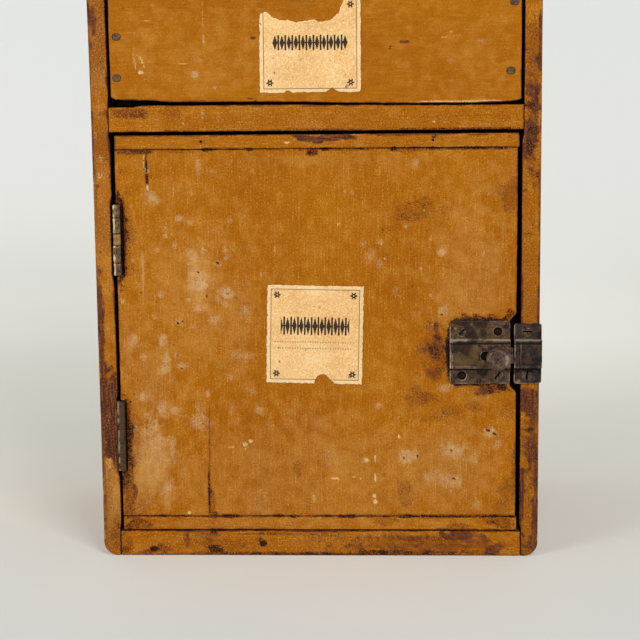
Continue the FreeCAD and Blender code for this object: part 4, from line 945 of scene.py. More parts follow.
def make_level_boards():
    """Bottom board and shelf, painted only along the front, and the top board, which has no paint below."""
    for name, low, high, seed in (("bottom_board", 0.0, BOTTOM_HIGH, 31),
                                  ("middle_shelf", SHELF_LOW, SHELF_HIGH, 37)):
        painted_board(name, (-INNER, FRONT, low), (INNER, BACK_FACE, high), (1.3, 5.0, 1.2), 1.0, seed,
                      PAINT_LEVEL, "carcass", shelf_shape, lambda square: (square[:, 1] > FRONT + 2.5) * 1.0,
                      ((), FRONT_LINES, ()), soiled=gap_shade, grain=1.25)
    painted_board("top_board", (-TOP_HALF, TOP_FRONT, SIDE_TOP), (TOP_HALF, BACK, TOP_CROWN), (2.5, 2.5, 1.6),
                  3.0, 41, PAINT_LEVEL, "carcass",
                  bare=lambda square: (square[:, 2] < SIDE_TOP + 0.1) * 1.0)


def hinge_cove(points, square):
    """Cove for each hinge barrel: the board's corner is laid on a quarter circle round the hinge axis.

    A front point goes to an angle that falls with its distance from the edge, an edge point to one that
    rises with its depth, so the corner itself lands on the middle of the arc.
    """
    points = points.copy()
    cove = np.where(square[:, 2] > BOLT_Z, COVES["upper"], COVES["lower"])
    front_end = np.arcsin((FRONT - AXIS_Y) / cove)
    middle = (front_end + math.pi / 2) / 2
    across = (square[:, 0] - DOOR_LEFT) / (AXIS_X + cove * np.cos(front_end) - DOOR_LEFT)
    inward = (square[:, 1] - FRONT) / (AXIS_Y + cove - FRONT)
    on_front = square[:, 1] < FRONT + 1e-3
    on_edge = square[:, 0] < DOOR_LEFT + 1e-3
    on_arc = np.where(on_front, (front_end - middle) * across, (math.pi / 2 - middle) * inward)
    angle = middle + on_arc
    beside = np.zeros(len(square), dtype=bool)
    for z in HINGE_HEIGHTS.values():
        beside |= np.abs(square[:, 2] - z) < HINGE_HALF + COVE_END
    inside = beside & (across < 1) & (inward < 1) & (on_front | on_edge)
    points[:, 0] = np.where(inside, AXIS_X + cove * np.cos(angle), points[:, 0])
    points[:, 1] = np.where(inside, AXIS_Y + cove * np.sin(angle), points[:, 1])
    points[:, 0] = np.where(beside & ~inside & on_edge, AXIS_X, points[:, 0])
    points[:, 0] = np.where(square[:, 0] > JOINT - 0.05, JOINT - 0.003, points[:, 0])
    return points


def keeper_notch(points, square):
    """Notch in the door's edge beside the keeper: the edge is drawn in, with slopes at both ends."""
    points = points.copy()
    from_end = NOTCH_HALF + NOTCH_DEPTH - np.abs(square[:, 2] - BOLT_Z)
    depth = NOTCH_DEPTH * np.clip(from_end / NOTCH_DEPTH, 0, 1)
    points[:, 0] -= depth * np.clip((square[:, 0] - WIDE_RIGHT + NOTCH_REACH) / NOTCH_REACH, 0, 1)
    points[:, 0] = np.where(square[:, 0] < JOINT + 0.05, JOINT + 0.003, points[:, 0])
    return points


def seam_grime(square):
    """Soot in the two seams between the door's boards and its clamps, a ragged line with thicker places."""
    away = np.minimum(np.abs(square[:, 2] - DOOR_LOW - CLAMP), np.abs(square[:, 2] - DOOR_HIGH + CLAMP))
    reach = 0.1 + 1.2 * smooth(0.4, 0.75, cloud(square, 6.0, 33))
    depth = 0.35 + 0.65 * smooth(0.35, 0.6, cloud(square, 18.0, 35))
    return smooth(reach + 0.8, reach - 0.2, away) * depth


def hinge_grime_and_shade(square):
    """Grime and painted shade by each hinge: black at the knuckles, a brown stain that fades on the door."""
    inward = square[:, 0] - DOOR_LEFT
    ragged = 2.0 * (cloud(square, 5.0, 44) - 0.5)
    field = seam_grime(square)
    black = {"upper": 0.45, "lower": 0.3}
    for level, z in HINGE_HEIGHTS.items():
        beside = smooth(HINGE_HALF + 4, HINGE_HALF - 3, np.abs(square[:, 2] - z))
        # Black in the cove by the knuckles: packed grime with painted shade
        packed = black[level] * smooth(7.2, 4.4, inward + ragged)
        stain = 0.42 * smooth(14.0, 5.5, inward + ragged)
        field = np.maximum(field, beside * (packed + stain))
    return field


def latch_grease_and_shade(square):
    """Painted shade under the latch case that shows in its empty holes; black grime creeps past its edges."""
    shade = panel(CASE_LEFT, CASE_RIGHT, CASE_LOW, CASE_HIGH, 3.0)
    away = shade(square[:, 0], square[:, 2])
    reach = 0.3 + 2.4 * smooth(0.3, 0.8, cloud(square, 5.5, 46))
    stain = 0.5 * np.exp(-np.maximum(away, 0) / 5) * smooth(0.3, 0.6, cloud(square, 8.0, 48))
    # Painted shade under the case, which shows in its empty holes
    shade_in_empty_holes = 2.0 * smooth(-0.5, -1.5, away)
    crept = np.maximum(0.9 * smooth(reach + 1.2, reach - 0.3, away), stain)
    return np.maximum.reduce([shade_in_empty_holes, crept, seam_grime(square)]) * (square[:, 1] < FRONT + 1)


def make_door():
    """Two upright boards that meet in a tight joint, and a level clamp along each of their ends."""
    low = DOOR_LOW + CLAMP
    high = DOOR_HIGH - CLAMP
    ends = [z + s * (HINGE_HALF + COVE_END) + e for z in HINGE_HEIGHTS.values() for s in (-1, 1)
            for e in (-0.06, 0.06)]
    fine = 0.7
    cove_lines = (np.arange(DOOR_LEFT + fine, DOOR_LEFT + 8, fine),
                  np.arange(FRONT + fine, FRONT + 6, fine), ends)

    def unpainted(square):
        return (square[:, 1] > DOOR_BACK - 0.1) * 1.0

    def tight(square):
        return np.where(np.abs(square[:, 0] - JOINT) < 2, 0.04, 1.0)

    def clamp_seam_soot_and_gap_shade(square):
        # Soot in the seams, and black painted shade along the door's top and bottom edges at the gaps
        gap = np.minimum(square[:, 2] - DOOR_LOW, DOOR_HIGH - square[:, 2])
        return np.maximum(seam_grime(square), smooth(0.7, 0.1, gap + 0.6 * cloud(square, 6.0, 37)))

    narrow = painted_board("door_board_narrow", (DOOR_LEFT, FRONT, low), (JOINT - 0.02, DOOR_BACK, high),
                           (0.9, 1.8, 0.95), 0.7, 51, PAINT_UPRIGHT, "door", hinge_cove, unpainted,
                           cove_lines, tight, closed=(1, 0, 0), soiled=hinge_grime_and_shade)
    wide = painted_board("door_board_wide", (JOINT + 0.02, FRONT, low), (WIDE_RIGHT, DOOR_BACK, high),
                         (1.22, 2.9, 1.22), 0.7, 57, PAINT_UPRIGHT, "door", keeper_notch, unpainted,
                         ease=tight, closed=(-1, 0, 0), soiled=latch_grease_and_shade)
    crisp(narrow, 60)
    crisp(wide, 60)
    for name, z, seed in (("door_top_clamp", DOOR_HIGH - CLAMP, 61), ("door_bottom_clamp", DOOR_LOW, 67)):
        painted_board(name, (DOOR_LEFT, FRONT, z), (DOOR_RIGHT, DOOR_BACK, z + CLAMP), (1.0, 2.5, 0.8), 0.9,
                      seed, PAINT_LEVEL, "door", bare=unpainted, soiled=clamp_seam_soot_and_gap_shade, grain=1.15)


def drawer_slope(points, square):
    """Lower edge out of true, less and less towards the top; the left edge leans with the side beside it."""
    points = points.copy()
    rise = np.interp(square[:, 0], DRAWER_EDGE_X, DRAWER_EDGE_Z) - DRAWER_LOW
    points[:, 2] += rise * smooth(DRAWER_LOW + 40, DRAWER_LOW, square[:, 2])
    points[:, 0] += lean(points) * smooth(-60, DRAWER_LEFT, square[:, 0])
    return points


def make_drawer_front():
    """Front board of the drawer, with no paint behind."""
    painted_board("drawer_front", (DRAWER_LEFT, FRONT, DRAWER_LOW), (DRAWER_RIGHT, DRAWER_INNER, DRAWER_HIGH),
                  (1.2, 2.5, 1.2), 1.0, 73, PAINT_LEVEL, "drawer", drawer_slope,
                  lambda square: (square[:, 1] > DRAWER_INNER - 0.1) * 1.0, grain=0.55)


def make_drawer_knob():
    """Turned knob: a tenon through the drawer front, a neck and a domed head, rubbed where it is held."""
    profile = flow([(14, 8.0), (17, 6.9), (22, 7.0), (27, 8.6), (31, 11.0), (34, 13.4), (35.4, 13.95),
                    (37, 13.0), (38.4, 9.6), (38.9, 5.0), (DRAWER_KNOB_LONG, 0.6)], 5)
    profile = np.concatenate([[(0, 0), (0, 5.4), (13.9, 5.4)], profile, [(DRAWER_KNOB_LONG, 0)]])
    profile[:, 0] = np.minimum(profile[:, 0], DRAWER_KNOB_LONG)
    points, quads, poles = turned(profile, 48)
    points = laid(points, (DRAWER_MIDDLE, DRAWER_INNER, DRAWER_KNOB_Z), X, Z)
    reach = (DRAWER_INNER - points[:, 1]) / DRAWER_KNOB_LONG
    handled = smooth(0.75, 1.0, reach) * cloud(points, 9.0, 5)
    greasy = smooth(0.62, 0.4, reach) * 0.5
    made = write_mesh("worn_drawer_knob", points, quads, poles, rub=handled * 1.1, soil=greasy, bloom=0.1,
                      haze=0.0, chalk=0.0, bare=0.0, grain=0.55)
    dress(made, PAINT_LEVEL, "drawer", "painted_wood", "drawer_knob")


def raw_board(name, body, material, radius, seed, grow=(0, 0, 0), wave=0.22):
    """Plain planed board with eased edges in the place of its node, grown on each side by a little."""
    low, high = [np.array(corner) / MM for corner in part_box(name)]
    points, quads, _ = plank(low - grow, high + grow, (5.0, 5.0, 5.0), radius, seed, wave=wave)
    # Darkened towards the front: grime, and painted shade deep behind the front boards
    made = write_mesh("planed_" + name, points, quads, soot=smooth(FRONT + 24, FRONT + 18, points[:, 1]))
    return dress(made, material, body, "bare_wood", name)


def make_raw_boards():
    """Boards that never had paint: the back, the door stop and the box of the drawer.

    The middle back board is a little wider than its node, so that no light passes its joints.
    """
    for number in (1, 2, 3):
        widen = 0.59 if number == 2 else 0.0
        raw_board(f"back_board_{number}", "carcass", RAW_UPRIGHT, 0.5, 80 + number, (widen, -0.15, 0), 0.0)
    raw_board("door_stop", "carcass", RAW_SHADED, 0.8, 84)
    raw_board("drawer_left_side", "drawer", RAW_DEEP, 0.8, 85)
    raw_board("drawer_right_side", "drawer", RAW_DEEP, 0.8, 86)
    raw_board("drawer_back", "drawer", RAW_LEVEL, 0.8, 87)
    raw_board("drawer_bottom", "drawer", RAW_LEVEL, 0.5, 88)


def disc(radius, wide=0.0):
    """Signed distance to a round-ended bar: a disc if it is not wide."""
    return lambda a, b: np.hypot(np.maximum(np.abs(a) - wide, 0), b) - radius


def panel(left, right, low, high, corner):
    """Signed distance to a rectangle with rounded corners."""
    def away(a, b):
        u = np.abs(a - (left + right) / 2) - (right - left) / 2 + corner
        v = np.abs(b - (low + high) / 2) - (high - low) / 2 + corner
        return np.hypot(np.maximum(u, 0), np.maximum(v, 0)) + np.minimum(np.maximum(u, v), 0) - corner
    return away


def pierced(outline, holes):
    """Signed distance to a sheet with round-ended holes: (x, z, radius, half length of its straight part)."""
    def away(a, b):
        field = outline(a, b)
        for x, z, radius, wide in holes:
            field = np.maximum(field, -disc(radius, wide)(a - x, b - z))
        return field
    return away


def near_lines(places, reach, pitch):
    """Fine grid lines that cover a reach on both sides of each place."""
    return [place + offset for place in places for offset in np.arange(-reach, reach + 1e-6, pitch)]


def pressed(left, right, low, high, corner, half_box, holes, hollow_left, hollow_right, mouths, ridge):
    """Pressed fitting: a flat plate with a long raised box across it, hollow behind.

    The front stands out by the wall, and by the roof where the distance to the bolt line is under half the
    box, with a bead along both arrises and a low step at the ridge. The back follows a thin wall behind it
    and comes down to the wood at the closed ends of the box, except in the mouths (half height, depth, from,
    to) that let the bolt through. Gives points, quads, and how bright and how dark each point is, as wear and
    grime with painted highlight and painted shade.
    """
    pitch = 0.55
    walls = [BOLT_Z + s * half_box for s in (-1, 1)]
    across = ruled(left, right, pitch, [left + 0.2, right - 0.2, hollow_left, hollow_left + 0.05,
                                        hollow_right - 0.05, hollow_right, ridge - 0.2, ridge + 0.2])
    upward = ruled(low, high, pitch, near_lines(walls, 1.3, 0.16))
    outline = panel(left, right, low, high, corner)
    sheet = pierced(outline, holes)

    def front(a, b):
        off = np.abs(b - BOLT_Z)
        rise = smooth(half_box + 0.7, half_box - 0.5, off)
        bead = 0.5 * np.exp(-((off - half_box + 0.4) / 0.6) ** 2)
        bead = bead - 0.4 * np.exp(-((off - half_box + 2.4) / 0.8) ** 2)
        end = np.minimum(a - left, right - a)
        ease = 0.3 * smooth(0.7, 0.0, end) + 0.25 * cloud(np.stack([a, 0 * a, b], axis=-1), 9.0, 3, 2)
        step = 0.45 * smooth(ridge + 0.25, ridge - 0.25, a)
        lip = 0.3 * smooth(0.6, 0.0, outline(a, b) + 0.6)
        sunk = np.zeros(np.shape(a))
        for x, z in EMPTY_HOLES:
            sunk = np.maximum(sunk, 0.8 * smooth(3.4, 1.9, np.hypot(a - x, b - z)))
        return WALL + (ROOF - WALL - 0.45) * rise + bead * (1 - step) - (ease + step) * rise - lip - sunk

    def back(a, b):
        off = np.abs(b - BOLT_Z)
        height = front(a, b) - THIN
        hollow = (off < half_box - WALL) & (a > hollow_left) & (a < hollow_right)
        depth = np.where(hollow, np.minimum(height, ROOF - 2 * WALL + 1.0), 0.02)
        for half, deep, start, finish in mouths:
            depth = np.where((off < half) & (a > start) & (a < finish), np.minimum(height, deep), depth)
        return depth

    points, quads = plate(across, upward, sheet, front, back, pitch)
    a, b, _ = points.T
    off = np.abs(b - BOLT_Z)
    chance = smooth(0.2, 0.6, cloud(points, 5.0, 9))
    # Worn beads, with painted highlight that makes the upper bead brighter than the lower
    bead = np.exp(-((off - half_box + 0.1) / 0.7) ** 2) * np.where(b > BOLT_Z, 1.0, 0.7)
    rims = 0.6 * smooth(-1.0, -0.2, sheet(a, b))
    # Painted highlight along the left edge
    side = 0.9 * smooth(1.0, 0.2, a - left)
    crest = 0.7 * np.exp(-((a - ridge - 0.3) / 0.4) ** 2) * (off < half_box)
    to_hole = np.minimum.reduce([np.hypot(a - x, b - z) for x, z in EMPTY_HOLES])
    ring = 0.7 * np.exp(-((to_hole - 3.5) / 0.35) ** 2)
    worn = np.maximum.reduce([bead, rims, side, crest, ring]) * (0.5 + 0.5 * chance)
    # Painted shade in the groove under the upper bead, and on the lower flange under the box
    groove = 0.8 * np.exp(-((off - half_box + 2.6) / 0.9) ** 2) * (b > BOLT_Z)
    under = 0.7 * smooth(half_box + 4.0, half_box + 0.6, off) * (b < BOLT_Z) * (off > half_box + 0.5)
    # Painted shadow of the knob round its slot
    round_slot = 0.5 * smooth(11.5, 5.0, np.hypot(a - STEM_X + 1.5, b - BOLT_Z))
    holes_shade = 1.2 * smooth(3.3, 2.7, to_hole)
    patches = 0.6 * smooth(0.55, 0.7, cloud(points, 9.0, 12))
    dirt = np.maximum.reduce([groove, under, round_slot * (left < STEM_X), holes_shade, patches])
    return laid(points, (0, FRONT, 0), X, Z), quads, {"worn": worn, "dirt": dirt, "coat": 0.0}


def make_latch_case():
    """Case on the door: two screw holes, two empty ones, the knob's slot and a mouth at each end.

    A streak and a speck of paint are left on it above the box.
    """
    holes = [(HOLE_LEFT, HOLE_HIGH, SCREW_SEAT, 0), (HOLE_RIGHT, HOLE_LOW, SCREW_SEAT, 0)]
    holes += [(x, z, EMPTY_RADIUS, 0) for x, z in EMPTY_HOLES]
    holes.append((SLOT_X, BOLT_Z - BOLT_DROP, SLOT_RADIUS, SLOT_HALF))
    mouths = [(7.3, 5.05, CASE_RIGHT - 1.3, CASE_RIGHT + 1), (2.55, 5.05, CASE_LEFT - 1, CASE_LEFT + 1.3)]
    points, quads, values = pressed(CASE_LEFT, CASE_RIGHT, CASE_LOW, CASE_HIGH, 3.0, CASE_BOX, holes,
                                    CASE_LEFT + WALL, CASE_RIGHT - WALL, mouths, CASE_LEFT + 1.4)
    streak = np.hypot((points[:, 0] - 119.6) / 8, (points[:, 2] - 166.9) / 1.7)
    speck = np.hypot(points[:, 0] - 98.1, points[:, 2] - 166.9) / 2
    values["coat"] = np.maximum(0.55 * smooth(1.3, 0.3, streak), 0.7 * smooth(1.3, 0.3, speck))
    made = write_mesh("pressed_latch_case", points, quads, **values)
    dress(crisp(made, 50), LATCH_IRON, "door", "latch_metal", "latch_case")


def make_keeper():
    """Keeper on the side board: a box that is open towards the bolt, with paint left on its edges."""
    low = BOLT_Z - KEEPER_HALF
    holes = [(KEEPER_SCREW_X, BOLT_Z + s * KEEPER_SCREW_RISE, SCREW_SEAT, 0) for s in (-1, 1)]
    mouths = [(8.9, 5.3, KEEPER_LEFT - 1, KEEPER_LEFT + 1.3)]
    points, quads, values = pressed(KEEPER_LEFT, KEEPER_RIGHT, low, BOLT_Z + KEEPER_HALF, 2.0, KEEPER_BOX,
                                    holes, KEEPER_LEFT - 1, KEEPER_RIGHT - WALL, mouths, KEEPER_LEFT + 4.2)
    corner = np.hypot(points[:, 0] - KEEPER_LEFT - 3, points[:, 2] - low - 1)
    low_edge = smooth(4.0, 0.5, points[:, 2] - low)
    side = smooth(1.4, 0.2, KEEPER_RIGHT - points[:, 0])
    values["coat"] = np.maximum.reduce([0.6 * smooth(8.0, 0.0, corner), 0.42 * low_edge, 0.4 * side])
    made = write_mesh("pressed_keeper", points, quads, **values)
    dress(crisp(made, 50), KEEPER_IRON, "carcass", "latch_metal", "keeper")


def make_bolt():
    """Bolt of three filed bars: a wide one under the knob, the nose and the tail.

    All but the nose are dark with grime and painted shade.
    """
    nose_z = BOLT_Z - BOLT_DROP
    bars = [((112.1, BOLT_FRONT, BOLT_Z - 8.7), (131.1, BOLT_BACK, BOLT_Z + 8.7)),
            ((130.5, BOLT_FRONT, nose_z - 5.8), (139.2, BOLT_BACK, nose_z + 5.8)),
            ((94.6, BOLT_FRONT, BOLT_Z - 2.2), (112.7, BOLT_BACK, BOLT_Z + 2.2))]
    points, quads = joined([plank(low, high, (1.0, 1.0, 1.0), 0.5, 91)[:2] for low, high in bars])
    nose = smooth(134.0, 137.0, points[:, 0])
    # Grime and painted shade on all but the nose
    made = write_mesh("filed_latch_bolt", points, quads, worn=0.2 * nose, dirt=1.0 - 0.85 * nose,
                      coat=0.2 * nose)
    dress(made, LATCH_IRON, "latch_bolt", "latch_metal", "latch_bolt")


def make_latch_knob():
    """Turned knob on the bolt: a slim neck that spreads to a rim round a shallow dish with a dimple."""
    foot = 0.3
    dish = 22.1
    profile = flow([(foot, 2.95), (7.5, 2.95), (12, 3.3), (15, 4.6), (17.0, 6.1), (18.6, 7.6), (19.6, 8.15),
                    (20.6, 8.25), (21.5, 8.1), (22.6, 7.3), (23.35, 6.2), (23.4, 5.2), (23.05, 3.6),
                    (22.85, 2.0), (22.7, 1.2), (22.2, 0.6), (dish, 0.15)], 4)
    profile = np.concatenate([[(foot, 0)], profile, [(dish, 0)]])
    points, quads, poles = turned(profile, 48)
    out = points[:, 2]
    ring = np.hypot(points[:, 0], points[:, 1])
    sideways = np.clip(points[:, 0] / np.maximum(ring, 0.1), -1, 1)
    # Painted highlight on the rim, strong at the right and fainter at the left
    flank = np.maximum(smooth(0.55, 0.95, sideways), 0.6 * smooth(0.55, 0.95, -sideways))
    rim = smooth(20.0, 22.6, out) * smooth(4.2, 5.8, ring) * flank
    dimple = smooth(1.6, 0.8, ring) * (out > 20)
    points = laid(points, (STEM_X, BOLT_BACK, BOLT_Z - BOLT_DROP), X, Z)
    # Dark neck inside the slot: grime and painted shade; a dark dimple in the dish
    made = write_mesh("turned_latch_knob", points, quads, poles, worn=0.6 * rim,
                      dirt=np.maximum(0.8 * smooth(11, 7, out), 0.6 * dimple), coat=0.0)
    dress(made, KNOB_IRON, "latch_bolt", "latch_metal", "latch_knob")


def screw_head(origin, across, upward, degrees):
    """Slotted countersunk head: a shallow dome with a straight slot, set in its hole."""
    turn = math.radians(degrees)
    pitch = 0.34
    lines = ruled(-SCREW, SCREW, pitch, [-0.45, -0.35, 0.35, 0.45])

    def from_slot(a, b):
        return np.abs(a * math.sin(turn) - b * math.cos(turn))

    def front(a, b):
        return -0.02 - 0.35 * (np.hypot(a, b) / SCREW) ** 2 - 0.9 * smooth(0.5, 0.3, from_slot(a, b))

    points, quads = plate(lines, lines, disc(SCREW), front, lambda a, b: 0 * a - 1.9, pitch)
    a, b, _ = points.T
    ring = np.hypot(a, b) / SCREW
    chance = smooth(0.3, 0.65, cloud(points, 2.5, degrees, 2))
    # A ring of wear and painted highlight near the head's edge
    worn = np.maximum(0.25 * chance, 0.5 * np.exp(-((ring - 0.82) / 0.1) ** 2))
    # Black in the slot and round the edge: grime and painted shade
    dirt = np.maximum(smooth(0.55, 0.4, from_slot(a, b)), smooth(0.93, 1.0, ring))
    return laid(points, origin, across, upward), quads, worn, dirt


def make_screws():
    """Groups of slotted screws; each head lies flush with the open face of what it holds."""
    y = FRONT - WALL
    case = [((HOLE_LEFT, y, HOLE_HIGH), X, Z, 40), ((HOLE_RIGHT, y, HOLE_LOW), X, Z, 50)]
    keeper = [((KEEPER_SCREW_X, y, BOLT_Z + s * KEEPER_SCREW_RISE), X, Z, turn)
              for s, turn in ((1, 0), (-1, 85))]
    heights = [z + s * LEAF_SCREW_RISE for z in HINGE_HEIGHTS.values() for s in (-1, 1)]
    frame_leaf = [((FRAME_LEAF_X + LEAF, LEAF_SCREW_Y, z), Y, Z, 20 + 35 * i) for i, z in enumerate(heights)]
    door_leaf = [((DOOR_LEAF_X, LEAF_SCREW_Y, z), -Y, Z, 60 + 30 * i) for i, z in enumerate(heights)]
    groups = (("latch_case_screws", case, "door", LATCH_IRON, "latch_metal"),
              ("keeper_screws", keeper, "carcass", LATCH_IRON, "latch_metal"),
              ("hinge_frame_screws", frame_leaf, "carcass", HINGE_IRON, "hinge_iron"),
              ("hinge_door_screws", door_leaf, "door", HINGE_IRON, "hinge_iron"))
    for name, places, body, material, slot in groups:
        heads = [screw_head(*place) for place in places]
        points, quads = joined([head[:2] for head in heads])
        made = write_mesh("slotted_" + name, points, quads, worn=np.concatenate([head[2] for head in heads]),
                          dirt=np.concatenate([head[3] for head in heads]), coat=0.0)
        dress(crisp(made, 40), material, body, slot, name)


# Each hinge's knuckles, from the lowest up: paint left on them and how far they swell, then where they end
KNUCKLE_LOOKS = {"upper": ((0.45, -0.4), (0.0, 0.22), (1.0, -0.35), (0.4, -0.25), (0.5, -0.15)),
                 "lower": ((0.15, 0.15), (0.0, 0.2), (0.1, 0.15), (0.0, 0.2), (0.1, 0.15))}
KNUCKLE_ENDS = {"upper": (0.0, 9.3, 21.9, 30.0, 41.5, 50.8),
                "lower": (0.0, 10.16, 20.32, 30.48, 40.64, 50.8)}
# Painted highlight on each hinge's left side, the gap at a knuckle's end and the grime packed on it
HINGE_HIGHLIGHT_GAP_GRIME = {"upper": (1.0, 0.2, 0.0), "lower": (0.7, 0.05, 0.56)}


def knuckle(low, high, swell, ease):
    """Rolled knuckle round the hinge axis: a cylinder with eased ends that swells towards its middle."""
    rise = np.array([0, 0, 0.12, 0.4, 0.9, 2.4, 3.6])
    drop = ease * np.array([0.75, 0.4, 0.15, 0.04])
    radius = KNUCKLE - np.concatenate([[KNUCKLE], drop - 0.1 * swell, [-0.7 * swell, -swell]])
    up = np.stack([low + rise, radius], axis=-1)
    down = np.stack([high - rise[::-1], radius[::-1]], axis=-1)
    points, quads, poles = turned(np.concatenate([up, down]), 28)
    return points + np.array([AXIS_X, AXIS_Y, 0]), quads, poles


def hinge_leaf(z, plate_x):
    """Flat leaf of a butt hinge: a sheet pierced for its two screws, between the board and the door."""
    near = AXIS_Y + 2.2
    far = FRONT + 13.0
    holes = [(LEAF_SCREW_Y, z + s * LEAF_SCREW_RISE, SCREW + 0.1, 0) for s in (-1, 1)]
    outline = pierced(panel(near, far, z - HINGE_HALF, z + HINGE_HALF, 0.6), holes)
    across = ruled(near, far, 0.7)
    upward = ruled(z - HINGE_HALF, z + HINGE_HALF, 0.8)
    points, quads = plate(across, upward, outline, lambda a, b: 0 * a + LEAF, lambda a, b: 0 * a, 0.75)
    return laid(points, (plate_x, 0, 0), Y, Z), quads


def make_leaf(level, kind, first, plate_x, body):
    """One leaf of a hinge: every second knuckle from the first on, and the flat plate behind them."""
    z = HINGE_HEIGHTS[level]
    left_highlight, gap, packed = HINGE_HIGHLIGHT_GAP_GRIME[level]
    base = z - HINGE_HALF
    rolls = []
    coats = []
    for number in range(first, 5, 2):
        coat, swell = KNUCKLE_LOOKS[level][number]
        low, high = KNUCKLE_ENDS[level][number:number + 2]
        rolls.append(knuckle(base + low + gap, base + high - gap, swell, 5 * gap))
        coats.append(np.full(len(rolls[-1][0]), coat))
    flat = hinge_leaf(z, plate_x)
    coats.append(np.full(len(flat[0]), 0.2))
    points, quads = joined([roll[:2] for roll in rolls] + [flat])
    starts = np.cumsum([0] + [len(roll[0]) for roll in rolls[:-1]])
    poles = np.concatenate([roll[2] + start for roll, start in zip(rolls, starts)])
    # Painted highlight down the left side of the knuckles and painted shade down their right side
    left = smooth(0.15, 0.7, (AXIS_X - points[:, 0]) / KNUCKLE) * (points[:, 1] < AXIS_Y + 1)
    right = smooth(0.45, 1.0, (points[:, 0] - AXIS_X) / KNUCKLE)
    chance = smooth(0.2, 0.6, cloud(points, 4.0, 8))
    made = write_mesh(f"rolled_{level}_hinge_{kind}_leaf", points, quads, poles, worn=left_highlight * left * chance,
                      dirt=np.maximum(0.9 * right, packed), coat=np.concatenate(coats))
    dress(crisp(made, 45), HINGE_IRON, body, "hinge_iron", f"{level}_hinge_{kind}_leaf")


def make_pin(level):
    """Pin through the knuckles of a hinge: a rod whose ends are riveted over in low domes."""
    radius = 1.5
    dome = 0.35
    angle = np.linspace(0, math.pi / 2, 5)
    cap = np.stack([HINGE_HALF - dome + dome * np.sin(angle), radius * np.cos(angle)], axis=-1)
    profile = np.concatenate([(cap * (-1, 1))[::-1], cap])
    profile[[0, -1], 1] = 0
    points, quads, poles = turned(profile, 16)
    points = points + np.array([AXIS_X, AXIS_Y, HINGE_HEIGHTS[level]])
    made = write_mesh(f"riveted_{level}_hinge_pin", points, quads, poles, worn=0.3, dirt=0.3, coat=0.0)
    dress(made, HINGE_IRON, "carcass", "hinge_iron", f"{level}_hinge_pin")


def make_hinges():
    """Both butt hinges: a leaf on the side board, a leaf on the door and the pin between them."""
    for level in HINGE_HEIGHTS:
        make_leaf(level, "frame", 0, FRAME_LEAF_X, "carcass")
        make_leaf(level, "door", 1, DOOR_LEAF_X, "door")
        make_pin(level)


def nail_head(origin, sideways, upward, wide, tall):
    """Hand-driven nail head: a thin, rounded and slightly dished plate, just proud of the wood."""
    pitch = 0.45
    outline = panel(-wide / 2, wide / 2, -tall / 2, tall / 2, 0.42 * tall)

    def front(a, b):
        away = outline(a, b)
        bruise = cloud(np.stack([a, b, 0 * a + origin[2]], axis=-1), 2.0, 6, 2)
        return 0.05 + 0.12 * smooth(0, -0.5, away) - 0.25 * bruise * smooth(-0.2, -1.0, away)

    across = ruled(-wide / 2, wide / 2, pitch)
    height = ruled(-tall / 2, tall / 2, pitch)
    points, quads = plate(across, height, outline, front, lambda a, b: 0 * a - 1.0, pitch)
    rim = smooth(-1.1, -0.2, outline(points[:, 0], points[:, 1]))
    return laid(points, origin, sideways, upward), quads, rim


def make_nails():
    """Groups of nails: in the sides, the top and the door stop, in the back, the drawer and the clamp."""
    cut = (2.4, 4.2)
    depths = (-95.0, -4.5, 79.0)
    levels = (BOTTOM_HIGH / 2, (SHELF_LOW + SHELF_HIGH) / 2)
    stop_x = 133.5
    stop_front = -99.2
    drawer_depth = 102.0
    clamp_z = 300.6
    carcass = [((s * (HALF - 0.05), y, z), s * Y, Z, *cut) for s in (-1, 1) for z in levels for y in depths]
    carcass += [((s * (HALF + INNER) / 2, y, TOP_CROWN), X, Y, *cut[::-1]) for s in (-1, 1) for y in depths]
    carcass += [((stop_x, stop_front, z), -Y, Z, *cut) for z in (139.8, 159.8)]
    backs = [((x, BACK - 0.18, z), -X, Z, *cut)
             for low, high in BACK_SPANS for z in levels for x in (low + 16, high - 16)]
    fronts = [(-140.1, 345.5), (-139.7, 374.0), (136.1, 348.3), (138.4, 395.4), (-138.3, 443), (138.7, 443),
              (-138.3, 495), (138.7, 495)]
    drawer = [((x, FRONT, z), X, Z, 6.2, 5.0) for x, z in fronts]
    drawer += [((s * DRAWER_HALF + DRAWER_MIDDLE, drawer_depth, z), s * Y, Z, *cut)
               for s in (-1, 1) for z in (371.2, 489.0)]
    brads = [((x, FRONT, clamp_z), X, Z, 1.9, 1.9) for x in (-81.6, 81.9)]
    for name, places, body, coat, dirt in (("carcass_nails", carcass, "carcass", 0.3, 0.0),
                                           ("back_nails", backs, "carcass", 0.0, 0.0),
                                           ("drawer_nails", drawer, "drawer", 0.42, 0.15),
                                           ("door_brads", brads, "door", 0.0, 0.9)):
        heads = [nail_head(*place) for place in places]
        points, quads = joined([head[:2] for head in heads])
        points[:, 0] += lean(points) * (points[:, 0] < -INNER)
        # A dark ring round each head: grime and painted shade where it meets the wood
        rim = np.concatenate([head[2] for head in heads])
        made = write_mesh("driven_" + name, points, quads, worn=0.1, coat=coat,
                          dirt=np.maximum(0.6 * rim, dirt))
        dress(made, NAIL_IRON, body, "nail_iron", name)


def polygon(corners):
    """Signed distance to a closed outline of straight edges, below 0 inside."""
    corners = np.array(corners, dtype=float)
    ends = np.roll(corners, -1, axis=0)

    def away(a, b):
        best = np.full(a.shape, 1e9)
        inside = np.zeros(a.shape, dtype=bool)
        for (x0, z0), (x1, z1) in zip(corners, ends):
            dx, dz = x1 - x0, z1 - z0
            t = np.clip(((a - x0) * dx + (b - z0) * dz) / (dx * dx + dz * dz), 0, 1)
            best = np.minimum(best, np.hypot(a - x0 - t * dx, b - z0 - t * dz))
            crosses = (z0 > b) != (z1 > b)
            inside ^= crosses & (a < x0 + (b - z0) * dx / (dz if dz else 1e-9))
        return np.where(inside, -best, best)
    return away


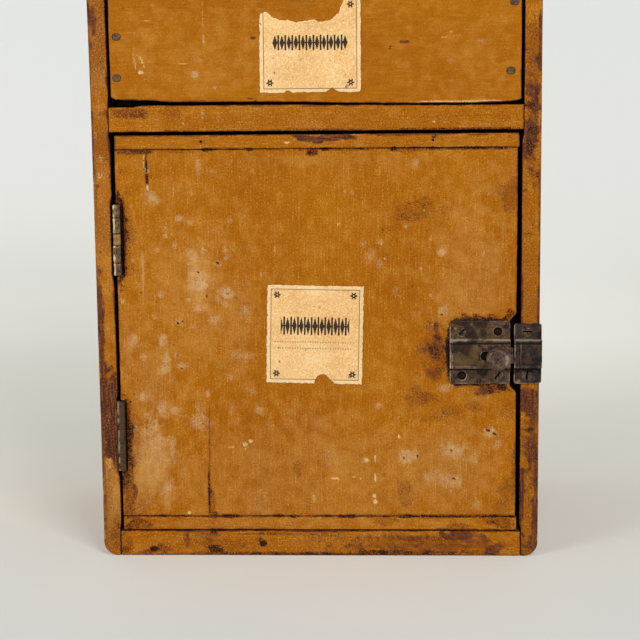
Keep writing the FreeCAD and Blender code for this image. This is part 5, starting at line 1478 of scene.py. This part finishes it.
def printed(u, v, half_u, half_v, row, row_half, row_wide):
    """Ink of a plain label, 0..1: a rule inside its edge, a rosette in each corner and an ornamental band.

    The band repeats a lozenge between two bars; the share of ink is taken from signed distances to them.
    """
    frame_away = np.abs(np.maximum(np.abs(u) - half_u, np.abs(v) - half_v))
    ink = 0.7 * smooth(0.6, 0.1, frame_away)
    p = np.abs(u) - half_u + 4.3
    q = np.abs(v) - half_v + 4.1
    ring = np.hypot(p, q)
    petals = 1.9 + 0.8 * np.cos(6 * np.arctan2(q, p))
    ink = np.maximum(ink, smooth(0.35, -0.1, ring - petals) * smooth(0.3, 0.8, ring))
    pitch = 4.9
    cell = np.mod(u + pitch / 2, pitch) - pitch / 2
    lozenge = np.abs(cell) / 1.6 + np.abs(v - row) / row_half - 1
    bars = np.maximum(np.abs(np.abs(cell) - pitch / 2) - 0.55, np.abs(v - row) - row_half)
    band = np.maximum(smooth(0.12, -0.05, lozenge), smooth(0.3, -0.1, bars))
    return np.maximum(ink, band * (np.abs(u) < row_wide))


def make_label(name, body, centre, turn, outline, half_u, half_v, row, row_half, row_wide, lines):
    """Paper label glued to the wood: a thin torn sheet whose edges lift a little.

    outline has the corners of the sheet from its centre, and turn is its slant in degrees. half_u and
    half_v place the printed rule; row, row_half and row_wide are the height, half height and half width of
    the band, and lines are the height and half width of each row of dashes.
    """
    pitch = 0.45
    low = np.min(outline, axis=0)
    high = np.max(outline, axis=0)
    straight = polygon(outline)

    def away(a, b):
        spread = np.stack([a, b, 0 * a], axis=-1)
        return straight(a, b) + 0.7 * noise(spread / 1.9, 29) * smooth(-2.5, 0.0, straight(a, b))

    def front(a, b):
        spread = np.stack([a, b, 0 * a], axis=-1)
        lift = smooth(-5.0, 0.0, away(a, b)) * smooth(0.45, 0.75, cloud(spread, 9.0, 17))
        return 0.22 + 0.05 * cloud(spread, 12.0, 15) + 0.45 * lift

    across = ruled(low[0], high[0], pitch, near_lines([-half_u, half_u], 0.7, 0.35))
    upward = ruled(low[1], high[1], pitch, near_lines([-half_v, half_v], 0.7, 0.35))
    points, quads = plate(across, upward, away, front, lambda a, b: front(a, b) - 0.2, pitch)
    u, v = points[:, 0], points[:, 1]
    ink = printed(u, v, half_u, half_v, row, row_half, row_wide)
    for height, wide in lines:
        dash = (np.abs(v - height) < 0.6) & (np.abs(u) < wide) & (np.mod(u, 1.8) < 1.1)
        ink = np.maximum(ink, 0.5 * dash)
    border = away(u, v)
    rim = smooth(-1.6, 0.0, border) * smooth(0.35, 0.65, cloud(points, 8.0, 19))
    rim = np.maximum(rim, 0.6 * (np.maximum(np.abs(u) - half_u, np.abs(v) - half_v) > 0))
    fox = 0.7 * smooth(0.74, 0.85, cloud(points, 5.0, 23))
    fox = fox + 0.6 * smooth(-0.6, 0, border) * cloud(points, 3.0, 27)
    angle = math.radians(turn)
    across = X * math.cos(angle) + Z * math.sin(angle)
    points = laid(points, (centre[0], FRONT, centre[1]), across, np.cross(-Y, across))
    made = write_mesh("glued_" + name, points, quads, ink=ink, rim=rim, fox=fox)
    dress(made, PAPER, body, "label_paper", name)


def make_labels():
    """Door label with a bite out of its lower edge, and drawer label with its upper part torn off."""
    bitten = [(34.65, -35.6), (34.65, 35.6), (-34.65, 35.6), (-34.65, -35.6), (0.2, -35.6), (0.8, -33.0),
              (2.0, -30.9), (4.2, -29.1), (6.6, -28.6), (8.6, -29.2), (10.2, -31.0), (12.2, -33.4),
              (14.6, -35.6)]
    make_label("door_label", "door", (-2.2, 162.7), -1.3, bitten, half_u=31.6, half_v=32.5, row=6.2,
               row_half=6.4, row_wide=24.5, lines=[(-5.5, 29.0), (-10.0, 27.0)])
    torn = [(35.7, 34.0), (23.5, 34.0), (22.6, 28.4), (20.1, 21.9), (16.5, 18.2), (13.1, 16.1), (6.0, 15.2),
            (3.0, 16.9), (-3.5, 16.0), (-9.6, 15.0), (-15.0, 16.8), (-21.1, 16.5), (-26.6, 19.3),
            (-29.0, 22.1), (-31.5, 22.6), (-34.9, 20.7), (-35.7, 12.0), (-35.2, 8.0), (-35.7, 2.0),
            (-35.7, -34.0), (-17.8, -34.0), (-16.0, -32.4), (-14.4, -32.9), (-12.9, -34.0), (10.5, -33.8),
            (13.0, -32.2), (15.4, -30.8), (17.4, -32.6), (19.4, -33.2), (21.5, -34.0), (34.6, -34.0),
            (35.7, -32.6)]
    make_label("drawer_label", "drawer", (-3.8, 368.0), 0.0, torn, half_u=32.6, half_v=31.0, row=0.8,
               row_half=5.2, row_wide=26.5, lines=[])


def finish_cad_nodes():
    """Gives each CAD node the finish of its slot, which shows if a node is seen without its new piece."""
    finishes = {"hinge_iron": HINGE_IRON, "latch_metal": LATCH_IRON, "nail_iron": NAIL_IRON,
                "label_paper": PAPER, "painted_wood": PAINT_LEVEL, "bare_wood": RAW_LEVEL}
    for part in frame["record"]["subparts"]:
        node = frame["nodes"][part["node"]]
        node.data.materials.clear()
        node.data.materials.append(finishes[part["material_slot"]])


def make_stage():
    """Seamless pale sweep: a floor that curves up through a quarter circle into a wall behind the cupboard.

    The lens and the metals see its paper a little brighter than the lamps make it, and the floor keeps its
    shadow. Seen from behind the paper is clear.
    """
    bend = 700
    bend_start = 500
    half_wide = 6500
    turn = np.linspace(0, math.pi / 2, 17)
    depth = np.concatenate([np.linspace(-3000, 450, 15), bend_start + bend * np.sin(turn),
                            np.full(8, float(bend_start + bend))])
    height = np.concatenate([np.zeros(15), bend - bend * np.cos(turn), np.linspace(800, 3500, 8)])
    across = np.linspace(-half_wide, half_wide, 27)
    points = np.stack(np.broadcast_arrays(across[None, :], depth[:, None], height[:, None]), axis=-1)
    points = points.reshape(-1, 3)
    ids = np.arange(len(points)).reshape(len(depth), len(across))
    quads = np.stack([ids[:-1, :-1], ids[:-1, 1:], ids[1:, 1:], ids[1:, :-1]], axis=-1).reshape(-1, 4)
    sweep = write_mesh("studio_sweep", points, quads)
    material, tree, shader, place = new_material("pale_studio_paper")
    split = add(tree, "ShaderNodeSeparateXYZ", {"Vector": place})
    cast = speckle(tree, place, 500, 3.0)
    # Graded as painted light and shade: darker on the floor in front, lightest where the paper bends up, a
    # little darker up the wall
    share = summed(tree, (split.outputs["Z"], 1.5), (split.outputs["Y"], 0.12), (cast, 0.1), (0.1, 1.0))
    colour = tints(tree, share, (0.12, "#c9cac7"), (0.15, "#d0cec6"), (0.21, "#dad8cf"), (0.29, "#dedcd5"),
                   (0.4, "#d6d6d1"), (1.0, "#d1d3d1"))
    sight = add(tree, "ShaderNodeLightPath")
    rays = [sight.outputs[f"Is {kind} Ray"] for kind in ("Camera", "Glossy", "Transmission")]
    seen = summed(tree, *[(ray, 1.0) for ray in rays])
    tree.links.new(colour.outputs[0], shader.inputs["Base Color"])
    tree.links.new(colour.outputs[0], shader.inputs["Emission Color"])
    tree.links.new(eased(tree, seen, 0.0, 1.0, 0.3).outputs[0], shader.inputs["Emission Strength"])
    shader.inputs["Roughness"].default_value = 0.9
    shader.inputs["Specular IOR Level"].default_value = 0.1
    behind = add(tree, "ShaderNodeNewGeometry").outputs["Backfacing"]
    clear = add(tree, "ShaderNodeBsdfTransparent")
    either = add(tree, "ShaderNodeMixShader", {0: behind, 1: shader, 2: clear})
    tree.links.new(either.outputs[0], tree.nodes["Material Output"].inputs["Surface"])
    sweep.data.materials.append(material)


def soft_box(name, place, aim, size, power):
    """Square area lamp that looks from one point to another (metres), its power in watts."""
    lamp = bpy.data.lights.new(name, "AREA")
    lamp.shape = "SQUARE"
    lamp.size = size
    lamp.energy = power
    made = bpy.data.objects.new(name, lamp)
    made.location = place
    made.rotation_euler = (Vector(aim) - Vector(place)).to_track_quat("-Z", "Y").to_euler()
    bpy.context.scene.collection.objects.link(made)


def make_light():
    """Even white air, a large key lamp high on the right and a weaker fill lamp on the left."""
    world = bpy.data.worlds.new("studio_air")
    world.use_nodes = True
    world.node_tree.nodes["Background"].inputs["Color"].default_value = linear("#ffffff")
    world.node_tree.nodes["Background"].inputs["Strength"].default_value = 0.36
    bpy.context.scene.world = world
    soft_box("key_soft_box", (1.7, -3.4, 2.8), (0, 0, 0.25), 1.6, 92)
    soft_box("fill_soft_box", (-2.6, -2.6, 1.5), (0, 0, 0.25), 1.4, 60)


def make_camera():
    """View of the photograph: a 90 mm lens on a 36 mm frame, level with the shelf, tipped down a little."""
    place = Vector((44.8, -1251.6, 327.6)) * MM
    yaw, pitch, roll = -0.03819, 0.13539, -0.00853
    forward = Vector((math.sin(yaw) * math.cos(pitch), math.cos(yaw) * math.cos(pitch), -math.sin(pitch)))
    right = Vector((math.cos(yaw), -math.sin(yaw), 0))
    up = right.cross(forward)
    across = right * math.cos(roll) + up * math.sin(roll)
    over_head = up * math.cos(roll) - right * math.sin(roll)
    lens = bpy.data.cameras.new("photo_camera")
    lens.lens = 90.0
    lens.sensor_width = 36.0
    lens.clip_end = 20.0
    made = bpy.data.objects.new("photo_camera", lens)
    turn = Matrix((across, over_head, -forward)).transposed().to_4x4()
    made.matrix_world = Matrix.Translation(place) @ turn
    bpy.context.scene.collection.objects.link(made)
    bpy.context.scene.camera = made


make_camera()
make_light()
make_stage()
finish_cad_nodes()
make_sides()
make_level_boards()
make_door()
make_drawer_front()
make_drawer_knob()
make_raw_boards()
make_latch_case()
make_keeper()
make_bolt()
make_latch_knob()
make_screws()
make_hinges()
make_nails()
make_labels()

bpy.context.scene.view_settings.view_transform = "Standard"
